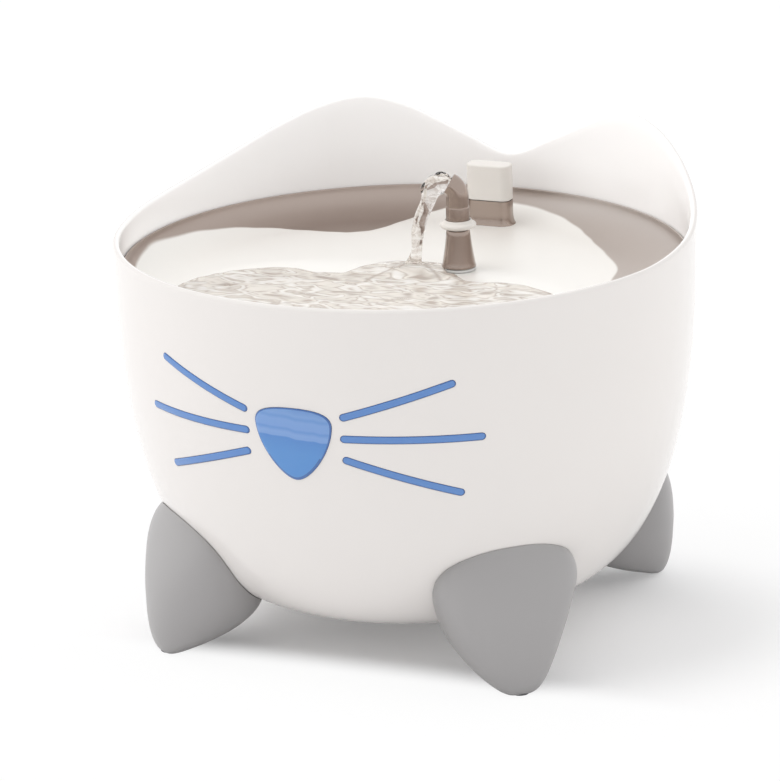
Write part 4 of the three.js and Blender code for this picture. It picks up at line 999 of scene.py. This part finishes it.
# Lift grip. A white moulded cap that plugs into the dish's sleeve and stands flush on
# it; a steel plate under the deck and one screw from below hold it.
grip_top = rim_height + 0.0043
grip_edge = 0.0008
grip_wall = 0.0015
grip_middle = (grip_front + grip_rear) / 2
grip_plate_top = dish_floor - dish_sheet - fit_gap
grip_plate_low = grip_plate_top - 0.0016
grip_plate_margin = 0.0025
grip_screw_seat = grip_plate_low - fit_gap
white_plastic = moulded("white plastic", tint(227, 222, 216), 0.3, mottle=0.015, relief=0.00002)

grip = bmesh.new()
cap_rings = [grip_ring(-0.0002, dish_rim + fit_gap), grip_ring(0, dish_rim + fit_gap + 0.0002)]
for k in range(9):
    turn = math.pi / 2 * k / 8
    cap_rings.append(grip_ring(
        grip_edge * (math.cos(turn) - 1), grip_top - grip_edge * (1 - math.sin(turn)),
    ))
lofted(grip, cap_rings)
spigot = bmesh.new()
spigot_inset = dish_sheet + fit_gap
lofted(spigot, [grip_ring(-spigot_inset, height) for height in (dish_floor, dish_rim + 2 * fit_gap)])
carve(grip, spigot, "UNION")
hollow = bmesh.new()
room_inset = spigot_inset + grip_wall
lofted(hollow, [
    grip_ring(-room_inset, height) for height in (dish_floor - 0.001, grip_top - 2 * grip_wall)
])
carve(grip, hollow)
screw_post = bmesh.new()
upright(screw_post, 0.0028, dish_floor, grip_top - grip_wall, 0, grip_middle)
carve(grip, screw_post, "UNION")
pilot = bmesh.new()
pilot_tip = grip_screw_seat + paw_screw_length + fit_gap
upright(pilot, shank_radius + fit_gap, dish_floor - 0.001, pilot_tip, 0, grip_middle)
carve(grip, pilot)
make_piece("grip_cap", grip, white_plastic, "dish", "white_plastic", "lift_grip", sharp=30)

plate = bmesh.new()
soft_edge = 0.0002
lofted(plate, [
    grip_ring(grip_plate_margin - soft_edge, grip_plate_low),
    grip_ring(grip_plate_margin, grip_plate_low + soft_edge),
    grip_ring(grip_plate_margin, grip_plate_top - soft_edge),
    grip_ring(grip_plate_margin - soft_edge, grip_plate_top),
])
plate_hole = bmesh.new()
upright(plate_hole, shank_radius + fit_gap, basin_floor, dish_floor, 0, grip_middle)
carve(plate, plate_hole)
make_piece("grip_clamp_plate", plate, plain_steel, "dish", "steel", "grip_plate")
make_piece(
    "grip_cap_screw", cross_screw(grip_middle, grip_screw_seat), screw_steel, "dish",
    "screw_steel", "grip_screw",
)

# Spout. A turned steel cone stands on the dish over a soft washer; a white ring holds
# the nozzle, a collar that turns by hand and bends up and over to one side.
spout_centre = (spout_x, spout_y)
spout_heading = math.radians(-74)
spout_base_low = dish_floor + 0.0016
spout_base_top = spout_base_low + 0.0161
spout_socket_low = spout_base_top - 0.0065
spout_socket_radius = 0.0039
spout_bore = 0.002
spout_ring_low = spout_base_top + fit_gap
spout_ring_radius = 0.00775
spout_ring_height = 0.004
spout_collar_radius = 0.005
spout_collar_top = spout_ring_low + 0.0093
spout_elbow_radius = 0.0048
spout_elbow_start = 0.0048
spout_elbow_curve = 0.006
spout_elbow_turn = math.radians(60)
spout_mouth_radius = 0.0033
spout_mouth_depth = 0.0025
spout_tail_end = dish_floor - 0.015
spout_barb_end = spout_tail_end - 0.01
barb_radius = 0.00385
spout_sides = 64

base = bmesh.new()
cone = [(0.0073, spout_base_low), (0.0073, spout_base_low + 0.0004)]
for k in range(9):
    t = k / 8
    cone.append((0.0071 - 0.0021 * (1.35 * t - 0.35 * t ** 2), spout_base_low + 0.001 + t * 0.0147))
cone += [(0.0047, spout_base_top), (spout_socket_radius, spout_base_top)]
turned(base, [
    (spout_bore, spout_barb_end), (barb_radius - fit_gap, spout_barb_end),
    (barb_radius, spout_barb_end + barb_radius / 2),
    (barb_radius, spout_tail_end), (spout_tail_radius, spout_tail_end), (spout_tail_radius, spout_base_low),
    *cone, (spout_socket_radius, spout_socket_low), (spout_bore, spout_socket_low),
], spout_sides, spout_centre, closed=True)
make_piece("spout_cone", base, painted_reflection_steel, "dish", "steel", "spout_base")

ring = bmesh.new()
ring_bore = spout_collar_radius + fit_gap
ring_line = [(ring_bore, spout_ring_low), (spout_ring_radius - 0.0024, spout_ring_low)]
for k in range(9):
    turn = math.pi * (k / 8 - 0.5)
    ring_line.append((
        spout_ring_radius - 0.0014 + 0.0014 * math.cos(turn),
        spout_ring_low + 0.0017 + 0.0012 * math.sin(turn),
    ))
ring_line += [
    (0.0062, spout_ring_low + 0.0031), (0.0058, spout_ring_low + spout_ring_height),
    (ring_bore, spout_ring_low + spout_ring_height),
]
turned(ring, ring_line, spout_sides, spout_centre, closed=True)
make_piece("spout_collar_ring", ring, white_plastic, "dish", "white_plastic", "spout_ring")


def elbow_places(before, after, steps):
    """Points and directions along the nozzle's axis, up the collar and round the bend."""
    aside = Vector((math.sin(spout_heading), -math.cos(spout_heading), 0))
    up = Vector((0, 0, 1))
    root = Vector((spout_x, spout_y, spout_collar_top))
    places = [(root - before * up, up), (root, up)]
    bend = root + spout_elbow_start * up
    for k in range(steps + 1):
        turn = spout_elbow_turn * k / steps
        point = bend + spout_elbow_curve * (aside * (1 - math.cos(turn)) + up * math.sin(turn))
        places.append((point, aside * math.sin(turn) + up * math.cos(turn)))
    mouth, out = places[-1]
    places.append((mouth + after * out, out))
    return places


def tube_rings(places, radii, sides):
    """Round rings square to a path that stays in the nozzle's upright plane."""
    level = Vector((math.cos(spout_heading), math.sin(spout_heading), 0))
    rings = []
    for (point, direction), radius in zip(places, radii):
        other = direction.cross(level)
        rings.append([
            point + radius * (math.cos(a) * level + math.sin(a) * other)
            for a in (2 * math.pi * k / sides for k in range(sides))
        ])
    return rings


nozzle = bmesh.new()
places = elbow_places(fit_gap, 0.0001, 20)
elbow = tube_rings(places, [spout_elbow_radius] * len(places), 56)
mouth, out = places[-1]
for k in range(1, 6):
    turn = math.pi / 2 * k / 5
    place = [(mouth + 0.0005 * math.sin(turn) * out, out)]
    elbow += tube_rings(place, [spout_elbow_radius - 0.0005 * (1 - math.cos(turn))], 56)
lofted(nozzle, elbow)
spigot_end = spout_socket_low + fit_gap
spigot_radius = 0.0033
groove_radius, groove_width = 0.0026, 0.0015
groove_low = spigot_end + (spout_ring_low - spigot_end - groove_width) / 2
collar = [
    (0, spigot_end), (spigot_radius, spigot_end), (spigot_radius, groove_low), (groove_radius, groove_low),
    (groove_radius, groove_low + groove_width), (spigot_radius, groove_low + groove_width),
    (spigot_radius, spout_ring_low),
    (spout_collar_radius, spout_ring_low), (spout_collar_radius, spout_collar_top),
    (0.00495, spout_collar_top + 0.0003), (0.0047, spout_collar_top + 0.0006),
    (0, spout_collar_top + 0.0006),
]
stem = bmesh.new()
turned(stem, collar, 64, spout_centre)
carve(nozzle, stem, "UNION")
bore = bmesh.new()
places = elbow_places(spout_collar_top - spigot_end + 0.001, spout_mouth_depth, 20)
lofted(bore, tube_rings(places, [spout_bore] * len(places), 32))
carve(nozzle, bore)
mouth_room = bmesh.new()
places = [(mouth + reach * out, out) for reach in (-spout_mouth_depth, 2 * spout_mouth_depth)]
lofted(mouth_room, tube_rings(places, [spout_mouth_radius] * 2, 48))
carve(nozzle, mouth_room)
make_piece("spout_elbow", nozzle, painted_reflection_steel, "spout", "steel", "spout_nozzle")

# Water. Drinking water in the basin and on the deck, and the arc that falls from the
# nozzle; it shows the fountain in use and has no solid of its own in the model.
pool_level = dish_floor + 0.0009
pool_points = [
    (-0.089, -0.035), (-0.085, -0.021), (-0.078, -0.011), (-0.066, -0.001), (-0.053, 0.002),
    (-0.043, -0.001), (-0.035, 0), (-0.029, 0.003), (-0.026, 0.014), (-0.019, 0.022),
    (-0.012, 0.025), (-0.004, 0.027), (0.004, 0.0276), (0.008, 0.026),
    (0.0125, 0.0155), (0.017, 0.0135), (0.025, 0.006),
    (0.032, 0.005), (0.0465, 0.007), (0.057, 0.003), (0.069, -0.003), (0.08, -0.018),
    (0.088, -0.036), (0.085, -0.055), (0.074, -0.072), (0.055, -0.086), (0.03, -0.0955),
    (0, -0.099), (-0.03, -0.0955), (-0.055, -0.086), (-0.074, -0.072), (-0.086, -0.054),
]
pool_sides = 360
pool_rows = 96
pool_under_rows = 40
pool_middle = Vector((-0.004, -0.03))
pool_edge_width = 0.0022
stream_foot = Vector((-0.0036, 0.0176))
splash_wave, splash_closeness, splash_reach = 0.00035, 1150, 0.012
mound_middle = Vector((-0.002, 0.012))
mound_height, mound_reach = 0.0024, 0.011
calm_reach = 0.01

# Height of the pool's ripples, their closeness across and along, and their place in the noise
pool_ripples = [(0.00042, 95, 150, 0.3), (0.0002, 230, 330, 1.7)]

# Points on the ring of a ripple behind and beside the falling water's foot, where its colour is darkened as
# painted shade
splash_shade_ring = [
    (-0.0144, -0.0097), (-0.0139, -0.0013), (-0.0108, 0.0054), (-0.0072, 0.0106), (-0.0055, 0.0136),
    (-0.0025, 0.0162), (0.0023, 0.016), (0.0059, 0.0129), (0.0109, 0.0079), (0.0148, 0.0025),
]


def closed_curve(points, count):
    """Equal steps of a smooth closed curve through points."""
    size = len(points)
    curve = []
    for k in range(count):
        place = k * size / count
        i, t = int(place), place - int(place)
        a, b, c, d = (Vector(points[(i + j) % size]) for j in (-1, 0, 1, 2))
        curve.append(0.5 * (2 * b + (c - a) * t + (2 * a - 5 * b + 4 * c - d) * t ** 2
                            + (3 * b - a - 3 * c + d) * t ** 3))
    return curve


def water_height(point, inward):
    """The rippled surface over the deck; it thins out at its edge."""
    edge = 1 - (1 - min(inward / pool_edge_width, 1)) ** 2
    near = (point - stream_foot).length
    ripple = sum(
        height * noise.noise(Vector((point.x * across, point.y * along, place)))
        for height, across, along, place in pool_ripples
    )
    rings = splash_wave * math.cos(near * splash_closeness) * math.exp(-near / splash_reach)
    mound = mound_height * math.exp(-((point - mound_middle).length / mound_reach) ** 2)
    calm = min(near / calm_reach, 1)
    return math.sqrt(max(edge, 0)) * (pool_level - dish_floor + ripple * calm + rings + mound)


pool = bmesh.new()
outline = closed_curve(pool_points, pool_sides)
rings = []
for row in range(pool_rows + 1):
    share = (row / pool_rows) ** 0.8
    ring = []
    for edge_point in outline:
        point = pool_middle.lerp(edge_point, max(share, 0.01))
        inward = (edge_point - point).length
        ring.append(Vector((*point, dish_floor + water_height(point, inward))))
    rings.append(ring)
sunk = 0.0003
rings.append([Vector((*point, dish_floor - sunk)) for point in outline])
for row in range(1, pool_under_rows):
    ring = []
    for edge_point in outline:
        point = edge_point.lerp(pool_middle, min(row / pool_under_rows, 0.99))
        ring.append(Vector((*point, dish_floor - sunk)))
    rings.append(ring)
for ring in rings:
    for point in ring:
        floor = dish_level(point.xy)
        if point.z <= dish_floor - sunk + 1e-9:
            point.z = floor - sunk
        else:
            point.z = max(point.z, floor + 0.00002)
lofted(pool, rings)


def tree_of(points):
    """A search tree of points on the level."""
    tree = kdtree.KDTree(len(points))
    for k, point in enumerate(points):
        tree.insert((point.x, point.y, 0), k)
    tree.balance()
    return tree


def water(name, ripple, size, clearness, body, painted_ripple_shade):
    """Water with ripples on its surface, and painted reflections in its colour that follow them: darker
    lines, white glints, and painted shade along the shore.
    """
    material, tree, shader, place = new_material(name)
    fill_inputs(shader, {"Roughness": 0.02, "IOR": 1.333, "Transmission Weight": clearness})
    stretch = add_node(tree, "Mapping", {
        "Vector": place, "Rotation": (0, 0, math.radians(-20)), "Scale": (0.6, 1.2, 1),
    })
    waves = add_node(tree, "TexNoise", {
        "Vector": stretch.outputs["Vector"], "Scale": size, "Detail": 1.5, "Distortion": 0.6,
    }).outputs["Fac"]
    # Painted reflections: darker lines and a white glint set by the ripples' noise
    drawn = colour_ramp(tree, waves, [
        (0.3, painted_ripple_shade), (0.74, painted_ripple_shade), (0.4, body), (0.455, body), (0.485, painted_ripple_shade), (0.515, body),
        (0.56, (1, 1, 1, 1)), (0.61, body), (0.645, painted_ripple_shade), (0.68, body),
    ], "B_SPLINE")
    painted_shore_shade = add_node(tree, "Attribute", attribute_name="painted_shore_shade").outputs["Fac"]
    tree.links.new(mixed(tree, painted_shore_shade, drawn, painted_ripple_shade), shader.inputs["Base Color"])
    relieved(tree, shader, waves, 0.6, ripple)
    return material


pool_water = water("pool water", 0.0007, 110, 0.4, tint(247, 242, 235), tint(180, 168, 158))
pool_piece = make_piece("water_pool", pool, pool_water, "dish", "steel", sharp=80)
pool_piece.visible_shadow = False
painted_shore_shade = pool_piece.data.attributes.new("painted_shore_shade", "FLOAT", "POINT")
shore_tree = tree_of(outline)
ring_points = [Vector(point) for point in splash_shade_ring]
ring_tree = tree_of([
    a.lerp(b, k / 10) for a, b in zip(ring_points, ring_points[1:]) for k in range(11)
])
# Painted shade: the water darkens along its shore and along the splash ring
for vert, share in zip(pool_piece.data.vertices, painted_shore_shade.data):
    gap = shore_tree.find((*vert.co.xy, 0))[2]
    splash_shade_gap = ring_tree.find((*vert.co.xy, 0))[2]
    share.value = max(0.9 * max(1 - gap / 0.0026, 0) ** 1.3, 0.9 * max(1 - splash_shade_gap / 0.0016, 0))

# Reach along the nozzle's heading, height, and radius of the falling water
stream_shares = [
    (0.0022, 0.1838, 0.0030), (0.0036, 0.1842, 0.0034), (0.0052, 0.1846, 0.0042), (0.0074, 0.1848, 0.0046),
    (0.0096, 0.1838, 0.0046), (0.0112, 0.1816, 0.0042), (0.0122, 0.1784, 0.0035), (0.0137, 0.1745, 0.0029),
    (0.0156, 0.1700, 0.0028), (0.0169, 0.1648, 0.0027), (0.0176, 0.1600, 0.0025), (0.0180, 0.1560, 0.0024),
    (0.0187, 0.1520, 0.0028), (0.0192, 0.1495, 0.0036), (0.0194, 0.1478, 0.0056),
]
stream_sides = 40
stream_steps = 6
reaches, heights, radii = ([(k, row[i]) for k, row in enumerate(stream_shares)] for i in range(3))
out = Vector((math.sin(spout_heading), -math.cos(spout_heading), 0))
path = []
for k in range((len(stream_shares) - 1) * stream_steps + 1):
    place = k / stream_steps
    point = Vector((spout_x, spout_y, smooth_value(heights, place))) + out * smooth_value(reaches, place)
    path.append((point, smooth_value(radii, place)))
places = []
for k, (point, _) in enumerate(path):
    before, after = path[max(k - 1, 0)][0], path[min(k + 1, len(path) - 1)][0]
    places.append((point, (after - before).normalized()))
stream = bmesh.new()
rings = tube_rings(places, [radius for _, radius in path], stream_sides)
for k, ring in enumerate(rings):
    centre = places[k][0]
    for point in ring:
        swell = 1 + 0.26 * noise.noise(Vector((point.x * 260, point.y * 260, point.z * 120)))
        point.xyz = centre + (point - centre) * swell
lofted(stream, rings)
stream_water = water("stream water", 0.0003, 190, 1, tint(250, 248, 246), tint(196, 184, 176))
stream_piece = make_piece("water_stream", stream, stream_water, "spout", "steel", sharp=80)
stream_piece.visible_shadow = False

# Inner pieces that keep the model's own shape: the nose's seal and frame, the spout's
# washer, nut and ring, and the pump with its filter. Each gets its moulded finish.
silicone = moulded("silicone", tint(214, 214, 212), 0.5, mottle=0.03, relief=0.00002)
pump_plastic = moulded("pump plastic", tint(222, 222, 220), 0.45, mottle=0.02, relief=0.00004)
magnet_black = moulded("magnet", tint(58, 58, 60), 0.6, mottle=0.06, cloud=120, relief=0.00006)
ceramic = moulded("ceramic", tint(246, 243, 236), 0.15, mottle=0.01, relief=0.000004)
foam = moulded("filter foam", tint(74, 90, 102), 0.95, mottle=0.25, cloud=400, grain=900, relief=0.0006)
finishes = {
    "white_shell": white_shell, "white_plastic": white_plastic, "grey_paw": grey_paw,
    "blue_inlay": nose_blue, "steel": plain_steel, "rubber": rubber, "silicone": silicone,
    "pump_plastic": pump_plastic, "magnet": magnet_black, "ceramic": ceramic,
    "screw_steel": screw_steel, "foam": foam,
}
slots = {part["node"]: part["material_slot"] for part in frame["record"]["subparts"]}
for name, node in frame["nodes"].items():
    if node.hide_render:
        continue
    finish = finishes[slots.get(name, "white_plastic")]
    node.data.materials.clear()
    node.data.materials.append(finish)

# Floor. A plain pale surface that fills the picture; it isn't part of the object. For the camera it glows
# white beyond an oval under the fountain and in front of its front paws: painted light that keeps the
# fountain's soft shadow only within.
floor_reach = 12
ground = bmesh.new()
bmesh.ops.create_grid(ground, x_segments=1, y_segments=1, size=floor_reach)
floor_mesh = bpy.data.meshes.new("floor")
ground.to_mesh(floor_mesh)
ground.free()
floor_paint, tree, shader, place = new_material("floor paint")
white = (1, 1, 1, 1)
fill_inputs(shader, {"Base Color": (0.96, 0.96, 0.965, 1), "Roughness": 0.9, "Specular IOR Level": 0})
shadow_area = add_node(tree, "Mapping", {
    "Vector": place, "Location": (0.033, -0.027, 0), "Rotation": (0, 0, math.radians(23)),
    "Scale": (0.131, 0.094, 1),
}, vector_type="TEXTURE")
away = add_node(tree, "VectorMath", {0: shadow_area.outputs["Vector"]}, operation="LENGTH")
around = scaled(tree, away.outputs["Value"], (0.75, 1.45), (0.1, 0.85), smooth=True)
ahead = add_node(tree, "SeparateXYZ", {"Vector": place}).outputs["Y"]
in_front = scaled(tree, ahead, (-0.058, -0.083), (0.1, 0.92), smooth=True)
painted_light_share = worked_out(tree, "MAXIMUM", around, in_front)
# Painted light: for the camera the floor glows white there, fading out the cast shadow
to_camera = add_node(tree, "LightPath").outputs["Is Camera Ray"]
painted_white_glow = add_node(tree, "Emission", {"Color": white})
painted_light_mix = add_node(tree, "MixShader", {
    "Fac": worked_out(tree, "MULTIPLY", painted_light_share, to_camera), 1: shader.outputs["BSDF"],
    2: painted_white_glow.outputs["Emission"],
})
fill_inputs(tree.nodes["Material Output"], {"Surface": painted_light_mix.outputs["Shader"]})
floor_mesh.materials.append(floor_paint)
floor = placed("floor", floor_mesh)

# Light. One wide soft lamp high on the left, and a white room that is brighter to the
# left and right of the camera than behind it. The camera, metal and water see plain white.


def direction_at(azimuth, elevation):
    """The direction at an angle from the front and an angle over the level."""
    return Vector((
        math.sin(azimuth) * math.cos(elevation), -math.cos(azimuth) * math.cos(elevation),
        math.sin(elevation),
    ))


lamp_data = bpy.data.lights.new("key lamp", "SUN")
lamp_data.energy = 0.88
lamp_data.angle = math.radians(40)
lamp_data.color = (1, 0.99, 0.98)
lamp = placed("key lamp", lamp_data)
toward_lamp = direction_at(math.radians(-72), math.radians(62))
lamp.rotation_mode = "QUATERNION"
lamp.rotation_quaternion = toward_lamp.to_track_quat("Z", "Y")
lamp.visible_glossy = False

view_azimuth = math.radians(23)
studio = bpy.data.worlds.new("studio")
studio.use_nodes = True
bpy.context.scene.world = studio
tree = studio.node_tree
room_middle, room_sides = 0.7, 0.9
direction = add_node(tree, "TexCoord").outputs["Generated"]
camera_right = (math.cos(view_azimuth), math.sin(view_azimuth), 0)
aside = add_node(tree, "VectorMath", {0: direction, 1: camera_right}, operation="DOT_PRODUCT")
squared = worked_out(tree, "POWER", aside.outputs["Value"], 2)
strength = worked_out(tree, "MULTIPLY_ADD", squared, room_sides, room_middle)
room_light = tree.nodes["Background"]
fill_inputs(room_light, {"Color": white, "Strength": strength})
backdrop = add_node(tree, "Background", {"Color": white, "Strength": 1})
rays = add_node(tree, "LightPath").outputs
mirrored = worked_out(tree, "MAXIMUM", rays["Is Glossy Ray"], rays["Is Transmission Ray"])
shown = add_node(tree, "MixShader", {
    "Fac": worked_out(tree, "MAXIMUM", mirrored, rays["Is Camera Ray"]),
    1: room_light.outputs["Background"], 2: backdrop.outputs["Background"],
})
fill_inputs(tree.nodes["World Output"], {"Surface": shown.outputs["Shader"]})

# Camera. A long lens from the front right, a little above the rim, turned so that the
# fountain stands in the picture where the photograph shows it.
view_elevation = math.radians(17.45)
view_distance = 1.978
view_centre = Vector((0, 0, 0.09))
frame_size = 781
focal_pixels = 4653

# Small turns about the camera's own axes, in degrees
view_turns = {"Y": 0.2326, "X": 0.246, "Z": -1.637}

camera_data = bpy.data.cameras.new("camera")
camera_data.sensor_width = 36
camera_data.lens = focal_pixels * camera_data.sensor_width / frame_size
camera_data.clip_start = 0.05
camera_data.clip_end = 50
camera = placed("camera", camera_data)
back = direction_at(view_azimuth, view_elevation)
aim = Matrix.Rotation(view_azimuth, 4, "Z") @ Matrix.Rotation(math.pi / 2 - view_elevation, 4, "X")
for axis, degrees in view_turns.items():
    aim = aim @ Matrix.Rotation(math.radians(degrees), 4, axis)
camera.matrix_world = Matrix.Translation(view_centre + back * view_distance) @ aim
bpy.context.scene.camera = camera
bpy.context.scene.view_settings.view_transform = "Standard"
